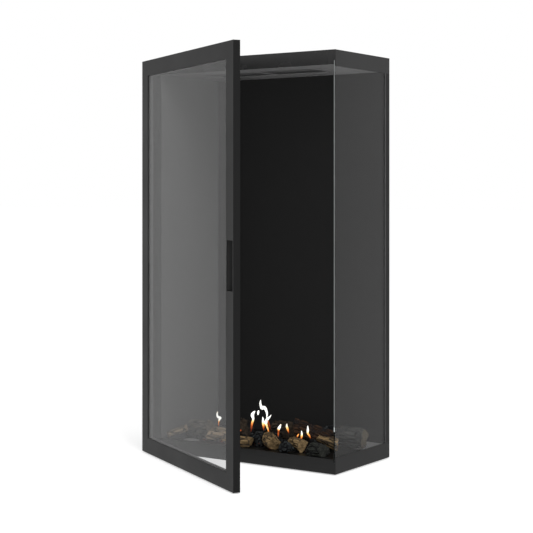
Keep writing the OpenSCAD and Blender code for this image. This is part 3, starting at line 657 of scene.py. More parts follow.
# %% Turned fasteners
# Rows of radius and depth in millimetres; a radius below zero is half the width of a hexagon.
RIVET = [(0, 0), (1.2, 0.06), (2.1, 0.26), (2.8, 0.65), (3.2, 1.2), (2.0, 1.2)]
PAN_HEAD = [(0, 0.85), (-1.2, 0.85), (-1.2, 0.1), (2.3, 0.06), (2.95, 0.35), (3.2, 0.9), (3.2, 1.2),
            (2.0, 1.2)]
COUNTERSUNK = [(0, 1.2), (-1.0, 1.2), (-1.0, 0.04), (2.9, 0.0), (3.1, 0.07), (1.6, 1.5)]
SIDES = 24
KINDS = ("rivet", "countersunk", "pan head")      # by the axis that they lie along


def turned(points, faces, profile, top, axis, length):
    """Adds a solid turned about an axis to lists of points and faces."""
    side = axis.orthogonal().normalized()
    up = axis.cross(side)
    first = len(points)
    points.append(top + axis * profile[0][1] / 1000)
    rows = profile[1:] + [(profile[-1][0], length * 1000)]
    for radius, depth in rows:
        for k in range(SIDES):
            angle = 2 * math.pi * k / SIDES
            reach = radius if radius > 0 else -radius / math.cos(angle % (math.pi / 3) - math.pi / 6)
            spoke = side * math.cos(angle) + up * math.sin(angle)
            points.append(top + (axis * depth + spoke * reach) / 1000)
    points.append(top + axis * length)
    for k in range(SIDES):
        after = (k + 1) % SIDES
        faces.append((first, first + 1 + k, first + 1 + after))
        for row in range(len(rows) - 1):
            ring = first + 1 + row * SIDES
            faces.append((ring + k, ring + SIDES + k, ring + SIDES + after, ring + after))
        ring = first + 1 + (len(rows) - 1) * SIDES
        faces.append((ring + k, len(points) - 1, ring + after))


def turned_fasteners(node, material, body, turn):
    """Turned screws and rivets that stand for the lumps of a solid."""
    points, faces, kinds = [], [], []
    for lump in lumps_of(node):
        places = np.array([turn.inverted() @ place for place in lump])
        low, high = places.min(axis=0), places.max(axis=0)
        size = high - low
        along = min(range(3), key=lambda i: abs(size[i - 1] - size[i - 2]))
        middle = (low + high) / 2
        reach = np.linalg.norm(np.delete(places - middle, along, axis=1), axis=1)
        upper = reach[places[:, along] > high[along] - WELD].max()
        lower = reach[places[:, along] < low[along] + WELD].max()
        top = Vector(middle)
        top[along] = high[along] if upper > lower else low[along]
        axis = Vector((0, 0, 0))
        axis[along] = -1 if upper > lower else 1
        kinds.append(KINDS[along])
        profile = (RIVET, COUNTERSUNK, PAN_HEAD)[along]
        turned(points, faces, profile, turn @ top, (turn.to_3x3() @ axis).normalized(), size[along])
    mesh = closed_mesh(node + "_turned", points, faces)
    mesh.shade_smooth()
    mesh.set_sharp_from_angle(angle=math.radians(35))
    piece = new_piece(node + "_turned", mesh, material, body)
    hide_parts(node)
    print(node, {kind: kinds.count(kind) for kind in sorted(set(kinds))})


HINGE_PLACE = Vector((-0.3257, -0.15175, 0.0))
DOOR_PLACE = Matrix.Translation(HINGE_PLACE) @ DOOR_TURN.to_4x4() @ Matrix.Translation(-HINGE_PLACE)

turned_fasteners("casing_fasteners", zinc, "firebox", Matrix.Identity(4))
turned_fasteners("door_fasteners", black_steel, "door", DOOR_PLACE)

# %% The floor darker but for two bright spots
# The middle and the reach of each spot that stays bright.
BRIGHT_SPOTS = [((0.292, 0.1, 0.043), (0.05, 0.075, 1)), ((-0.187, -0.121, 0.043), (0.026, 0.017, 1))]
DARK_FLOOR = (0.022, 0.022, 0.022, 1)
DARK_STARTS, DARK_FULL = 1.1, 1.4       # distances from a middle, in reaches

tree = floor_steel.node_tree
shader = tree.nodes["Principled BSDF"]
shader.inputs["Metallic"].default_value = 0.8
where = object_place(tree)
nearest = None
for middle, reach in BRIGHT_SPOTS:
    apart = vector_calc(tree, "DIVIDE", vector_calc(tree, "SUBTRACT", where, middle), reach)
    apart = vector_calc(tree, "LENGTH", apart, output="Value")
    nearest = calc(tree, "MINIMUM", nearest, apart) if nearest else apart
# The floor's colour runs to a dark grey everywhere except near these spots, over a ragged edge.
ragged = calc(tree, "MULTIPLY_ADD", noise_value(tree, where, 40.0, 4.0), 0.5, nearest)
darkness = laid_over(tree, ragged, DARK_STARTS, DARK_FULL)
base = shader.inputs["Base Color"]
tree.links.new(mixed_colour(tree, darkness, base.links[0].from_socket, DARK_FLOOR), base)
print("soot on the floor but for", len(BRIGHT_SPOTS), "spots")

# %% [markdown]
# ## Board, tape and ceramic
# Behind the liners lie boards of pressed fibre. The panes sit between strips of woven glass
# tape. The spark electrode is a glazed ceramic rod. These show only from behind or close up,
# but each still has its own grain: fibres for the board, a fine weave for the tape.

# %% Fibre, tape and ceramic
def mottled(name, low, high, scale, roughness, bump, distance=0.0006, kind="ShaderNodeTexNoise"):
    """A material that runs between two colours over a noise or a weave of cells."""
    made, tree, shader = principled(name, Roughness=roughness)
    grain = put(tree, kind, {"Vector": object_place(tree), "Scale": scale})
    value = grain.outputs["Fac" if kind == "ShaderNodeTexNoise" else "Distance"]
    wire(tree, shader, value, bump, distance, Base_Color=ramp(tree, value, [(0.3, low), (0.7, high)]))
    return made


board = mottled("fibre_board", (0.5, 0.46, 0.38), (0.66, 0.62, 0.54), 260, 0.9, 0.4)
tape = mottled("woven_tape", (0.07, 0.07, 0.07), (0.14, 0.14, 0.14), 900, 0.8, 0.6,
               kind="ShaderNodeTexVoronoi")
glazed = mottled("glazed_ceramic", (0.68, 0.66, 0.6), (0.76, 0.74, 0.7), 120, 0.15, 0.05)
dress(board, "back_insulation", "left_insulation", "setting_blocks")
dress(tape, "side_glass_tape", "door_glass_tape")
dress(glazed, "spark_electrode")
print("board, tape and ceramic")

# %% [markdown]
# ## The woven seal of the door
# A flat rope of woven glass runs round the back of the door. Its plait shows as two rows of
# slanted stitches that lean towards each other. A Geometry Nodes group makes it: a rectangle
# with rounded corners is cut into points at an even pitch, each row of points is shifted to its
# own side of the line, and a small slanted stitch is set on every point over a thin core.

# %% Seal group
PLAIT_SIDES = (-1.0, 1.0)
UP = (0, 0, 1)


def grown(name, group, base, values):
    """The mesh that a geometry group makes from a base mesh and named values."""
    carrier = new_object(name, base)
    modifier = carrier.modifiers.new(name, "NODES")
    modifier.node_group = group
    for item in group.interface.items_tree:
        if item.in_out == "INPUT" and item.name in values:
            modifier[item.identifier] = values[item.name]
    return finished_mesh(carrier)


def end_geometry(group, geometry, given, result):
    """Ends a geometry tree in real meshes of the material that it is given."""
    real = put(group, "GeometryNodeRealizeInstances", {"Geometry": geometry})
    dyed = put(group, "GeometryNodeSetMaterial", {"Geometry": real.outputs[0],
                                                  "Material": given["Material"]})
    link_all(group, result, Geometry=dyed.outputs[0])


plait, given, result = new_group(
    "plait", "GeometryNodeTree",
    [("Base", "Geometry", None), ("Width", "Float", 0.6), ("Height", "Float", 1.1),
     ("Corner", "Float", 0.006), ("Pitch", "Float", 0.0034), ("Shift", "Float", 0.0019),
     ("Lean", "Float", 0.62), ("Stitch", "Vector", (0.0021, 0.001, 0.00098)), ("Core", "Float", 0.0007),
     ("Material", "Material", None)], [("Geometry", "Geometry")])
outline = put(plait, "GeometryNodeCurvePrimitiveQuadrilateral",
              {"Width": given["Width"], "Height": given["Height"]})
rounded = put(plait, "GeometryNodeFilletCurve", {"Curve": outline.outputs[0], "Count": 4,
                                                 "Radius": given["Corner"]}, mode="POLY").outputs[0]
spots = put(plait, "GeometryNodeCurveToPoints", {"Curve": rounded, "Length": given["Pitch"]},
            mode="LENGTH").outputs
heading = put(plait, "ShaderNodeSeparateXYZ", {0: spots["Tangent"]}).outputs
course = calc(plait, "ARCTAN2", heading["Y"], heading["X"])
spots_side = vector_calc(plait, "CROSS_PRODUCT", spots["Tangent"], UP)
line_side = vector_calc(plait, "CROSS_PRODUCT", put(plait, "GeometryNodeInputTangent").outputs[0], UP)
bead = put(plait, "GeometryNodeMeshUVSphere", {"Segments": 8, "Rings": 4, "Radius": 1.0})
thin = put(plait, "GeometryNodeCurvePrimitiveCircle", {"Resolution": 6, "Radius": given["Core"]})
both_rows = put(plait, "GeometryNodeJoinGeometry")
for row in PLAIT_SIDES:
    shift = calc(plait, "MULTIPLY", given["Shift"], row)
    lean = calc(plait, "MULTIPLY_ADD", given["Lean"], row, course)
    turn = put(plait, "ShaderNodeCombineXYZ", {"Z": lean})
    moved = put(plait, "GeometryNodeSetPosition", {"Geometry": spots["Points"],
                                                   "Offset": scaled(plait, spots_side, shift)})
    stitches = put(plait, "GeometryNodeInstanceOnPoints",
                   {"Points": moved.outputs[0], "Instance": bead.outputs["Mesh"],
                    "Rotation": turn.outputs[0], "Scale": given["Stitch"]})
    line = put(plait, "GeometryNodeSetPosition", {"Geometry": rounded,
                                                  "Offset": scaled(plait, line_side, shift)})
    core = put(plait, "GeometryNodeCurveToMesh", {"Curve": line.outputs[0],
                                                  "Profile Curve": thin.outputs[0]})
    for strand in (stitches, core):
        plait.links.new(strand.outputs[0], both_rows.inputs[0])
end_geometry(plait, both_rows.outputs[0], given, result)
print("plait group with", len(plait.nodes), "nodes")

# %% Door seal
DOOR_SIZE = (0.643, 1.150)
SEAL_MIDDLE = 0.0075                    # from the door's edge to the middle of the seal
SEAL_PLACE = (0.0, -0.152, 0.578)       # the middle of the seal with the door closed

rope = mottled("glass_rope", (0.012, 0.012, 0.012), (0.05, 0.05, 0.05), 1400, 0.85, 0.7, distance=0.0003)
nothing = bpy.data.meshes.new("no_base")
seal_mesh = grown("door_seal_plait", plait, nothing,
                  {"Width": DOOR_SIZE[0] - 2 * SEAL_MIDDLE, "Height": DOOR_SIZE[1] - 2 * SEAL_MIDDLE,
                   "Material": rope})
seal_mesh.transform(DOOR_PLACE @ Matrix.Translation(SEAL_PLACE) @ Matrix.Rotation(math.pi / 2, 4, "X"))
seal_mesh.shade_smooth()
seal_piece = new_piece("door_seal_plait", seal_mesh, rope, "door")
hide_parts("door_seal")
print("seal of", len(seal_mesh.polygons), "faces")

# %% [markdown]
# ## The log set
# The logs are cast in ceramic fibre from moulds of real wood, then painted by hand. Some show
# bark with deep cracks, some a split face with long fibres, and their ends are sawn. The
# solids have the right place and swell, so each one is copied, subdivided and roughened:
# bark cracks come from cells stretched along the log, fibres from noise stretched even more.
# The direction of the grain is kept on each point as an attribute, so that the paint can
# follow the log whichever way it lies.

# %% Dense copies
CREASE_ANGLE = math.radians(42)
CREASE = 0.75
POLE_EDGES = 15             # a point with more edges than this is the middle of an end
LEVELS = 3


def dense(node):
    """A subdivided copy of a faceted solid that keeps its sharp rims, and the middles of its ends."""
    block = bmesh.new()
    block.from_mesh(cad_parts[node].data)
    bmesh.ops.remove_doubles(block, verts=block.verts, dist=WELD)
    crease = block.edges.layers.float.new("crease_edge")
    for edge in block.edges:
        if edge.is_manifold and edge.calc_face_angle() > CREASE_ANGLE:
            edge[crease] = CREASE
    poles = [vert.co.copy() for vert in block.verts if len(vert.link_edges) > POLE_EDGES]
    fine = with_modifiers(bmesh_to_mesh(block, node), node,
                          [("SUBSURF", {"levels": LEVELS, "render_levels": LEVELS})])
    return fine, poles


def place_arrays(mesh):
    """Points and normals of a mesh as arrays."""
    points = np.empty(len(mesh.vertices) * 3)
    normals = np.empty(len(mesh.vertices) * 3)
    mesh.vertices.foreach_get("co", points)
    mesh.vertex_normals.foreach_get("vector", normals)
    return points.reshape(-1, 3), normals.reshape(-1, 3)


def keep(mesh, name, values):
    """Stores a value or a vector for each point."""
    vector = values.ndim == 2
    layer = mesh.attributes.new(name, "FLOAT_VECTOR" if vector else "FLOAT", "POINT")
    layer.data.foreach_set("vector" if vector else "value", values.astype(np.float32).ravel())


def cast_piece(name, mesh, points, kept, material):
    """A piece of the firebox whose mesh has new points and keeps some values."""
    mesh.vertices.foreach_set("co", points.ravel())
    for label, values in kept.items():
        keep(mesh, label, values)
    mesh.shade_smooth()
    return new_piece(name, mesh, material, "firebox")


def step(value, low, high):
    """0 below low, 1 above high, and smooth between them."""
    share = min(max((value - low) / (high - low), 0.0), 1.0)
    return share * share * (3 - 2 * share)


# %% Roughened logs
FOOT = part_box("burner_plate")[1][2]     # the logs rest on this level
CUTS = {      # millimetres: a point of each split face, and the way the lost side lay
    "log_front_left": [((30, -120, 69), (0.6, 0.2, 0.8)), ((28, -120, 51), (0.6, 0.2, -0.8))],
    "log_split": [((95, -105, 79), (0.5, 0.3, 0.8)), ((65, -105, 46), (-0.5, -0.5, -0.7))],
    "log_front_mid": [((185, -85, 54), (0.8, 0.4, -0.5)), ((150, -85, 48), (-0.5, -0.5, -0.8))],
    "log_bark": [((263, -120, 71), (0.6, 0.1, 0.8)), ((218, -120, 70), (-0.6, -0.5, 0.7))]}
# How often each form comes again in a metre, along the grain and across it.
LUMPS, CRACKS, FLAKES, THREADS, TEARS = (14, 34), (26, 85), (60, 190), (9, 260), (22, 120)
SEED_SHIFT = 7.3
RING_HEIGHT, RINGS = 0.0005, 2600       # growth rings of a sawn end, in metres and per metre
CHIP_HEIGHT, CHIPS = 0.0026, 70


def over_grain(grain, rate, ahead=0.0, aside=0.0):
    """A place in a pattern that is stretched along the grain."""
    return Vector((grain[0] * rate[0] + ahead, grain[1] * rate[1] + aside, grain[2] * rate[1]))


def log_relief(grain, bark, fibre, seed):
    """Height of a log's surface at a place given along and across its grain."""
    shift = seed * SEED_SHIFT
    lumps = noise.noise(over_grain(grain, LUMPS, ahead=shift))
    cells = noise.voronoi(over_grain(grain, CRACKS, ahead=shift))[0]
    crack = 1 - step(cells[1] - cells[0], 0.03, 0.3)
    flakes = noise.fractal(over_grain(grain, FLAKES, aside=shift), 0.9, 2.1, 4)
    threads = noise.fractal(over_grain(grain, THREADS, ahead=shift), 0.8, 2.0, 3)
    tears = noise.noise(over_grain(grain, TEARS, aside=shift))
    rough_bark = 0.0028 * lumps - 0.0052 * crack + 0.0011 * flakes
    split_face = 0.0022 * lumps + 0.0013 * threads - 0.0022 * step(tears, 0.1, 0.5)
    return bark * rough_bark + fibre * split_face, crack


def carved_log(node, material, slot, bark, fibre, seed, square=0.0, longer=0.0):
    """A detailed log that stands for a faceted one, with its far end squared and drawn out."""
    mesh, (start, end) = dense(node)
    axis = (end - start).normalized()
    side = axis.cross(Vector((0, 0, 1))).normalized()
    up = side.cross(axis)
    cuts = [(Vector(spot) / 1000, Vector(away).normalized()) for spot, away in CUTS.get(node, ())]
    points, normals = place_arrays(mesh)
    grain = np.empty_like(points)
    relief = np.zeros(len(points))
    sawn = np.zeros(len(points))
    for i, (place, normal) in enumerate(zip(points, normals)):
        place, normal = Vector(place), Vector(normal)
        arm = place - start
        grain[i] = (arm.dot(axis), arm.dot(side), arm.dot(up))
        sawn[i] = step(abs(normal.dot(axis)), 0.5, 0.8)
        height, crack = log_relief(grain[i], bark, fibre, seed)
        radius = math.hypot(grain[i][1], grain[i][2])
        rings = RING_HEIGHT * math.sin(radius * RINGS + 2 * noise.noise(place * 60))
        chips = CHIP_HEIGHT * noise.fractal(place * CHIPS, 0.8, 2.0, 3)
        height = height * (1 - sawn[i]) + (rings + chips) * sawn[i]
        relief[i] = (1 - crack) if sawn[i] < 0.5 else 0.7 + 300 * rings
        share = step(grain[i][0] / (end - start).length, 0.3, 0.9)
        for spot, away in cuts:
            place -= away * max((place - spot).dot(away), 0)
        place = place + normal * height + axis * share * (longer - square * grain[i][1])
        points[i] = (place.x, place.y, max(place.z, FOOT))
    kept = {"grain": grain, "relief": relief, "sawn": sawn}
    piece = cast_piece(node + "_cast", mesh, points, kept, material)
    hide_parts(node)


# %% Burnt wood group
FIBRES, BANDS = (18, 420, 420), (10, 90, 90)    # per metre, along the grain and across it
SAWN_SHARE = 0.4
CHAR_EDGE = 0.16
CRACK_CHAR = 0.85

wood, given, result = new_group(
    "burnt_wood", "ShaderNodeTree",
    [("Dark", "Color", None), ("Light", "Color", None), ("Char", "Color", (0.012, 0.012, 0.013, 1)),
     ("Charred", "Float", 0.3), ("Sawn", "Color", (0.2, 0.13, 0.07, 1))],
    [("Color", "Color"), ("Height", "Float")])
grain = kept_value(wood, "grain", "Vector")
fibres = noise_value(wood, vector_calc(wood, "MULTIPLY", grain, FIBRES), 1.0, 5.0)
tones = noise_value(wood, vector_calc(wood, "MULTIPLY", grain, BANDS), 1.0, 4.0)
mix_up = calc(wood, "ADD", fibres, tones)
painted = mixed_colour(wood, laid_over(wood, mix_up, 0.75, 1.25), given["Dark"], given["Light"])
plain = calc(wood, "MULTIPLY", kept_value(wood, "sawn"), SAWN_SHARE)
painted = mixed_colour(wood, plain, painted, given["Sawn"])
patches = noise_value(wood, object_place(wood), 26.0, 6.0)
edge = calc(wood, "SUBTRACT", 1.0, given["Charred"])
burnt = laid_over(wood, patches, edge, calc(wood, "ADD", edge, CHAR_EDGE))
deep = laid_over(wood, kept_value(wood, "relief"), 0.0, 0.75, CRACK_CHAR, 0.0)
painted = mixed_colour(wood, calc(wood, "MAXIMUM", burnt, deep), painted, given["Char"])
link_all(wood, result, Color=painted, Height=mix_up)
print("burnt wood group with", len(wood.nodes), "nodes")

# %% Log materials
# The dark and the light paint, the share that is charred and the colour of a sawn end.
PAINTS = {
    "tan_wood": ((0.04, 0.026, 0.013), (0.33, 0.226, 0.112), 0.45, (0.2, 0.138, 0.07)),
    # The paler tan below is painted light: it brightens the two logs seen through the grey door pane.
    "pale_wood": ((0.13, 0.098, 0.062), (0.33, 0.25, 0.16), 0.34, (0.27, 0.205, 0.135)),
    "brown_wood": ((0.016, 0.009, 0.006), (0.066, 0.036, 0.021), 0.5, (0.05, 0.029, 0.018)),
    "grey_wood": ((0.045, 0.039, 0.032), (0.13, 0.112, 0.09), 0.4, (0.12, 0.094, 0.064)),
    "slate_wood": ((0.016, 0.017, 0.017), (0.07, 0.07, 0.064), 0.42, (0.12, 0.09, 0.048)),
    "burnt_wood": ((0.012, 0.009, 0.007), (0.075, 0.056, 0.04), 0.56, (0.035, 0.026, 0.019)),
    "black_wood": ((0.008, 0.009, 0.008), (0.036, 0.038, 0.033), 0.4, (0.024, 0.024, 0.021))}
COARSE_DEPTH = 0.0008


def cast_wood(name, dark, light, charred, sawn_end):
    """Painted ceramic that looks like wood."""
    made, tree, shader = principled(name, Roughness=0.88, IOR=1.25)
    paint = put(tree, "ShaderNodeGroup", {"Dark": (*dark, 1), "Light": (*light, 1), "Charred": charred,
                                          "Sawn": (*sawn_end, 1)}, node_tree=wood).outputs
    wire(tree, shader, paint["Height"], 0.5, COARSE_DEPTH, Base_Color=paint["Color"])
    return made


woods = {name: cast_wood(name, *paint) for name, paint in PAINTS.items()}
print(len(woods), "kinds of painted wood")

# %% Logs
# The node, its paint and slot, how much bark and fibre, and how far its end is squared and drawn out.
LOGS = [
    # The two logs behind the door pane take the paler tan, which is painted light.
    ("log_prop", "pale_wood", "log_tan", 0.0, 0.8), ("log_left", "grey_wood", "log_grey", 0.7, 0.4),
    ("log_tan_left", "pale_wood", "log_tan", 0.0, 1.0),
    ("log_front_left", "tan_wood", "log_tan", 0.1, 1.0), ("log_split", "tan_wood", "log_tan", 0.2, 1.1),
    ("log_front_mid", "tan_wood", "log_tan", 0.2, 1.0), ("log_bark", "black_wood", "log_brown", 1.1, 0.1),
    ("log_front_right", "tan_wood", "log_tan", 0.2, 1.1),
    ("log_long", "slate_wood", "log_grey", 0.8, 0.5, 0.42, 0.01),
    ("log_stub", "brown_wood", "log_brown", 0.8, 0.5), ("log_back", "burnt_wood", "log_brown", 0.9, 0.4),
    ("log_left_back", "burnt_wood", "log_brown", 1.0, 0.3)]

for seed, (node, paint, slot, bark, fibre, *ending) in enumerate(LOGS):
    carved_log(node, woods[paint], slot, bark, fibre, seed, *ending)

# %% [markdown]
# ## Charcoal
# Charred wood breaks into blocks: shrinkage cracks run along and across it. Cells of two sizes
# give those blocks, and each lump is a dense copy of its faceted solid, like the logs.

# %% Charcoal material
coal, tree, shader = principled("charcoal", Roughness=0.8, IOR=1.3)
where = object_place(tree)
dusty = calc(tree, "MULTIPLY", noise_value(tree, where, 55.0, 6.0), kept_value(tree, "relief"))
coal_tone = ramp(tree, dusty, [(0.15, (0.004, 0.004, 0.005)), (0.4, (0.014, 0.016, 0.0168)),
                               (0.62, (0.048, 0.054, 0.055))])
wire(tree, shader, noise_value(tree, where, 600.0, 4.0), 0.7, COARSE_DEPTH, Base_Color=coal_tone)
print("charcoal material")

# %% Charcoal lumps
BLOCKS, HAIRS, DENTS = 75, 190, 45      # per metre
BLOCK_CRACK, HAIR_CRACK, DENT = 0.0038, 0.0012, 0.0022

coal_mesh, _ = dense("charcoal")
points, normals = place_arrays(coal_mesh)
relief = np.zeros(len(points))
for i, (place, normal) in enumerate(zip(points, normals)):
    place, normal = Vector(place), Vector(normal)
    blocks = noise.voronoi(place * BLOCKS)[0]
    small = noise.voronoi(place * HAIRS)[0]
    crack = 1 - step(blocks[1] - blocks[0], 0.03, 0.28)
    hair = 1 - step(small[1] - small[0], 0.02, 0.2)
    height = DENT * noise.noise(place * DENTS) - BLOCK_CRACK * crack - HAIR_CRACK * hair
    relief[i] = 1 - 0.8 * crack - 0.3 * hair
    place = place + normal * height
    points[i] = (place.x, place.y, max(place.z, FOOT))
coal_piece = cast_piece("charcoal_lumps", coal_mesh, points, {"relief": relief}, coal)
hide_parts("charcoal")
print("charcoal of", len(coal_mesh.polygons), "faces")

# %% [markdown]
# ## Crumbs of charcoal
# Between the logs the burner is strewn with crumbs of charcoal, and a few of them glow. A
# Geometry Nodes group scatters them over a flat bed: it picks one of three angular crumbs for
# each place and turns and scales it at random, always from the same seed. Each crumb keeps a
# random number, from which the material lets about one in twenty glow.

# %% Crumb group
scatter, given, result = new_group(
    "crumbs", "GeometryNodeTree",
    [("Bed", "Geometry", None), ("Density", "Float", 9000.0), ("Spacing", "Float", 0.007),
     ("Seed", "Int", 3), ("Radius", "Float", 0.006), ("Smallest", "Float", 0.5),
     ("Largest", "Float", 1.3), ("Material", "Material", None)], [("Geometry", "Geometry")])
places = put(scatter, "GeometryNodeDistributePointsOnFaces",
             {"Mesh": given["Bed"], "Distance Min": given["Spacing"], "Density Max": given["Density"],
              "Seed": given["Seed"]}, distribute_method="POISSON")
crumbs = put(scatter, "GeometryNodeGeometryToInstance")
for number in range(3):
    ball = put(scatter, "GeometryNodeMeshIcoSphere", {"Radius": given["Radius"], "Subdivisions": 1})
    lumpy = put(scatter, "ShaderNodeTexNoise", {"Scale": 130.0, "W": 4.0 * number}, noise_dimensions="4D")
    centred = vector_calc(scatter, "SUBTRACT", lumpy.outputs["Color"], (0.5, 0.5, 0.5))
    crumb = put(scatter, "GeometryNodeSetPosition", {"Geometry": ball.outputs["Mesh"],
                                                     "Offset": scaled(scatter, centred, 0.016)})
    scatter.links.new(crumb.outputs[0], crumbs.inputs[0])
turn = put(scatter, "FunctionNodeRandomValue", {"Max": (6.28, 6.28, 6.28), "Seed": given["Seed"]},
           data_type="FLOAT_VECTOR")
size = put(scatter, "FunctionNodeRandomValue", {2: given["Smallest"], 3: given["Largest"], "Seed": 11},
           data_type="FLOAT")
scattered = put(scatter, "GeometryNodeInstanceOnPoints",
                {"Points": places.outputs["Points"], "Instance": crumbs.outputs[0], "Pick Instance": True,
                 "Rotation": turn.outputs[0], "Scale": size.outputs[1]})
chance = put(scatter, "FunctionNodeRandomValue", {"Seed": 29}, data_type="FLOAT")
marked = put(scatter, "GeometryNodeStoreNamedAttribute",
             {"Geometry": scattered.outputs[0], "Name": "ember", "Value": chance.outputs[1]},
             data_type="FLOAT", domain="INSTANCE")
end_geometry(scatter, marked.outputs[0], given, result)
print("crumb group with", len(scatter.nodes), "nodes")

# %% Crumbs
BED_LIFT = 0.002
BED_MARGIN = 0.01
BED_REAR_MARGIN = 0.005

crumb_coal, tree, shader = principled("crumbs_of_charcoal", Roughness=0.85, IOR=1.3, Emission_Strength=0.5)
grit = noise_value(tree, object_place(tree), 300.0, 5.0)
crumb_tone = ramp(tree, grit, [(0.35, (0.004, 0.004, 0.005)), (0.75, (0.03, 0.031, 0.03))])
heat = calc(tree, "MULTIPLY", kept_value(tree, "ember"), grit)
ember_tone = ramp(tree, heat, [(0.5, (0.0, 0.0, 0.0)), (0.6, (0.3, 0.03, 0.006)), (0.7, (0.8, 0.2, 0.04))])
wire(tree, shader, grit, 0.7, COARSE_DEPTH, Base_Color=crumb_tone, Emission_Color=ember_tone)

bed_low, bed_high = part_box("burner_plate")
left, right = bed_low[0] + BED_MARGIN, bed_high[0] - BED_MARGIN
front, rear = bed_low[1] - BED_MARGIN, bed_high[1] - BED_REAR_MARGIN
bed = bpy.data.meshes.new("bed")
bed.from_pydata([(x, y, FOOT + BED_LIFT) for x, y in ((left, front), (right, front), (right, rear),
                                                      (left, rear))], [], [(0, 1, 2, 3)])
crumb_mesh = grown("charcoal_crumbs", scatter, bed, {"Density": 9000.0, "Spacing": 0.008, "Seed": 5,
                                                     "Material": crumb_coal})
crumb_piece = new_piece("charcoal_crumbs", crumb_mesh, crumb_coal, "firebox")
print("crumbs of", len(crumb_mesh.polygons), "faces")

# %% [markdown]
# ## Flames
# Each flame runs along a bent path: it leaves the charcoal as a thin red thread, swells, turns
# white where it is hottest and ends in a tip. The paths say the place, the radius and the
# heat at a few points, and a smooth curve goes through them. The heat is kept on the mesh,
# so one material gives the whole fade, and the cool ends are half clear.

# %% Flame material
flame, tree, shader = principled("flame", Roughness=1.0, IOR=1.0, Emission_Strength=1.5,
                                 Base_Color=(0, 0, 0, 1))
flicker = noise_value(tree, object_place(tree), 260.0, 2.0)
waver = laid_over(tree, flicker, 0.3, 0.7, -0.07, 0.07)
hot = calc(tree, "ADD", kept_value(tree, "flame_heat"), waver)
glow = ramp(tree, hot, [(0.05, (0.12, 0.012, 0.003)), (0.3, (0.42, 0.08, 0.016)), (0.55, (0.9, 0.33, 0.07)),
                        (0.78, (1.0, 0.72, 0.3)), (0.96, (1.0, 1.0, 0.95))])
body = ramp(tree, hot, [(0.05, 0.15), (0.35, 0.6), (0.7, 1.0)])
link_all(tree, shader.inputs, Emission_Color=glow, Alpha=body)
print("flame material")
# %% Flames
FLAMES = [      # millimetres: x, y, z, radius, and the heat from 0 to 1
    [(2, -90, 80, 1.5, 0.05), (4, -90, 94, 3, 0.25), (6, -90, 105, 3.5, 0.5),
     (10, -90, 117, 3.5, 0.9), (7, -90, 127, 5.5, 1), (10, -90, 134, 4.5, 1),
     (16, -90, 140, 1.5, 1)],
    [(6, -60, 124, 1, 1), (6, -60, 128, 3, 1), (7, -60, 133, 3.5, 1), (8, -60, 138, 1, 1)],
    [(43, -70, 120, 1, 1), (44, -70, 132, 3, 1), (41, -70, 142, 4, 1),
     (35, -70, 149, 5.5, 1), (27, -70, 148, 6, 1), (23, -70, 153, 4, 1),
     (21, -70, 161, 3, 1), (22, -70, 170, 1, 1)],
    [(40, -80, 86, 1, 0.1), (39, -80, 95, 3, 0.35), (38, -80, 107, 4.5, 0.8),
     (37, -80, 117, 3, 1), (36, -80, 124, 1, 1)],
    [(57, -80, 81, 1.5, 0.3), (54, -80, 91, 2.5, 0.6), (49, -80, 102, 3.5, 0.75),
     (47, -80, 110, 5, 1), (52, -80, 119, 4.5, 1), (60, -80, 126, 2.5, 1),
     (65, -80, 132, 1, 1)],
    [(66, -84, 90, 1, 0), (62, -84, 101, 2.5, 0.15), (58, -84, 112, 2.5, 0.25),
     (54, -84, 117, 1, 0.4)],
    [(96, -90, 74, 1, 0.15), (96, -90, 82, 2.5, 0.3), (97, -90, 91, 2.5, 0.3),
     (98, -90, 98, 4.5, 0.9), (102, -90, 105, 3.5, 1), (105, -90, 111, 1, 0.9)],
    [(112, -60, 81, 1, 0.1), (110, -60, 88, 2.5, 0.4), (107, -60, 96, 3.5, 0.7),
     (105, -60, 102, 3, 0.9), (106, -60, 108, 1, 0.9)],
    [(140, -60, 73, 1, 0.2), (142, -60, 78, 2.5, 0.55), (146, -60, 83, 1, 0.5)],
    [(152, -60, 66, 1, 0.1), (155, -60, 75, 3, 0.5), (156, -60, 84, 3, 0.9),
     (155, -60, 93, 1, 1)],
    [(185, -60, 75, 1, 0.3), (181, -60, 82, 2.5, 0.5), (176, -60, 88, 3, 0.7),
     (176, -60, 97, 3.5, 1), (176, -60, 109, 1, 1)],
    [(-133, -60, 79, 1, 0.35), (-132, -60, 90, 1.5, 0.45), (-130, -60, 98, 3, 0.95),
     (-126, -60, 104, 4, 1), (-135, -60, 106, 4, 1), (-138, -60, 114, 2.5, 1),
     (-136, -60, 121, 1.5, 0.85)],
    [(-50, -70, 73, 1, 0.1), (-48, -70, 76, 2, 0.3), (-47, -70, 79, 1, 0.1)]]
FLAME_SIDES = 12
FLAME_STEPS = 8
FLAME_GIRTH = 0.82


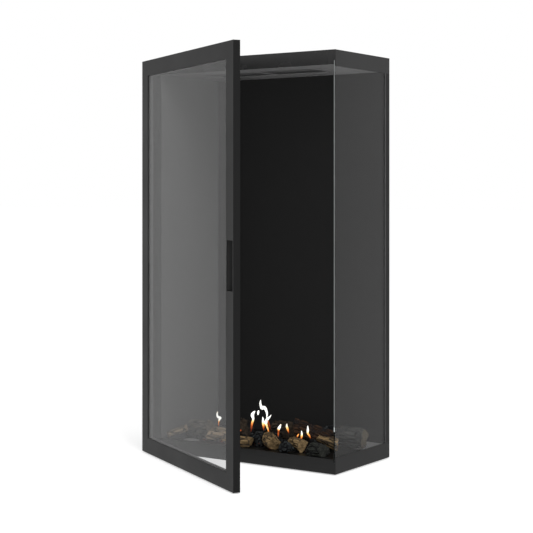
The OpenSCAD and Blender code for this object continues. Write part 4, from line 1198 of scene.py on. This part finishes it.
def smooth_path(points, steps):
    """Rows on a smooth curve through rows of numbers."""
    rows = np.array(points, float)
    rows = np.vstack([2 * rows[0] - rows[1], rows, 2 * rows[-1] - rows[-2]])
    fine = []
    for a, b, c, d in zip(rows, rows[1:], rows[2:], rows[3:]):
        for t in np.linspace(0, 1, steps, endpoint=False):
            fine.append(b + 0.5 * t * (c - a + t * (2 * a - 5 * b + 4 * c - d + t * (3 * (b - c) + d - a))))
    return np.array(fine + [rows[-2]])


def flame_tube(path):
    """Points, faces and heats of a closed tube along a path in the plane of X and Z."""
    rows = smooth_path(path, FLAME_STEPS)
    heading = np.gradient(rows[:, [0, 2]], axis=0)
    heading /= np.linalg.norm(heading, axis=1)[:, None]
    points = [tuple(rows[0, :3])]
    heats = [rows[0, 4]]
    for row, (run, rise) in zip(rows, heading):
        for k in range(FLAME_SIDES):
            angle = 2 * math.pi * k / FLAME_SIDES
            across = FLAME_GIRTH * max(row[3], 0.2) * math.cos(angle)
            depth = FLAME_GIRTH * max(row[3], 0.2) * math.sin(angle)
            points.append((row[0] + across * rise, row[1] + depth, row[2] - across * run))
            heats.append(row[4])
    points.append(tuple(rows[-1, :3]))
    heats.append(rows[-1, 4])
    faces = [(0, 1 + (k + 1) % FLAME_SIDES, 1 + k) for k in range(FLAME_SIDES)]
    for ring in range(len(rows) - 1):
        first = 1 + ring * FLAME_SIDES
        for k in range(FLAME_SIDES):
            after = (k + 1) % FLAME_SIDES
            faces.append((first + k, first + after, first + FLAME_SIDES + after, first + FLAME_SIDES + k))
    first = 1 + (len(rows) - 1) * FLAME_SIDES
    faces += [(first + k, first + (k + 1) % FLAME_SIDES, len(points) - 1) for k in range(FLAME_SIDES)]
    return points, faces, heats


points, faces, heats = [], [], []
for path in FLAMES:
    tube = flame_tube(path)
    faces += [tuple(len(points) + corner for corner in face) for face in tube[1]]
    points += tube[0]
    heats += tube[2]
flame_mesh = closed_mesh("flames", [(x / 1000, y / 1000, z / 1000) for x, y, z in points], faces)
keep(flame_mesh, "flame_heat", np.clip(np.array(heats), 0, 1))
flame_mesh.shade_smooth()
flame_piece = new_piece("flames", flame_mesh, flame, "firebox")
flame_piece.visible_shadow = False
print(len(FLAMES), "flames of", len(flame_mesh.polygons), "faces")
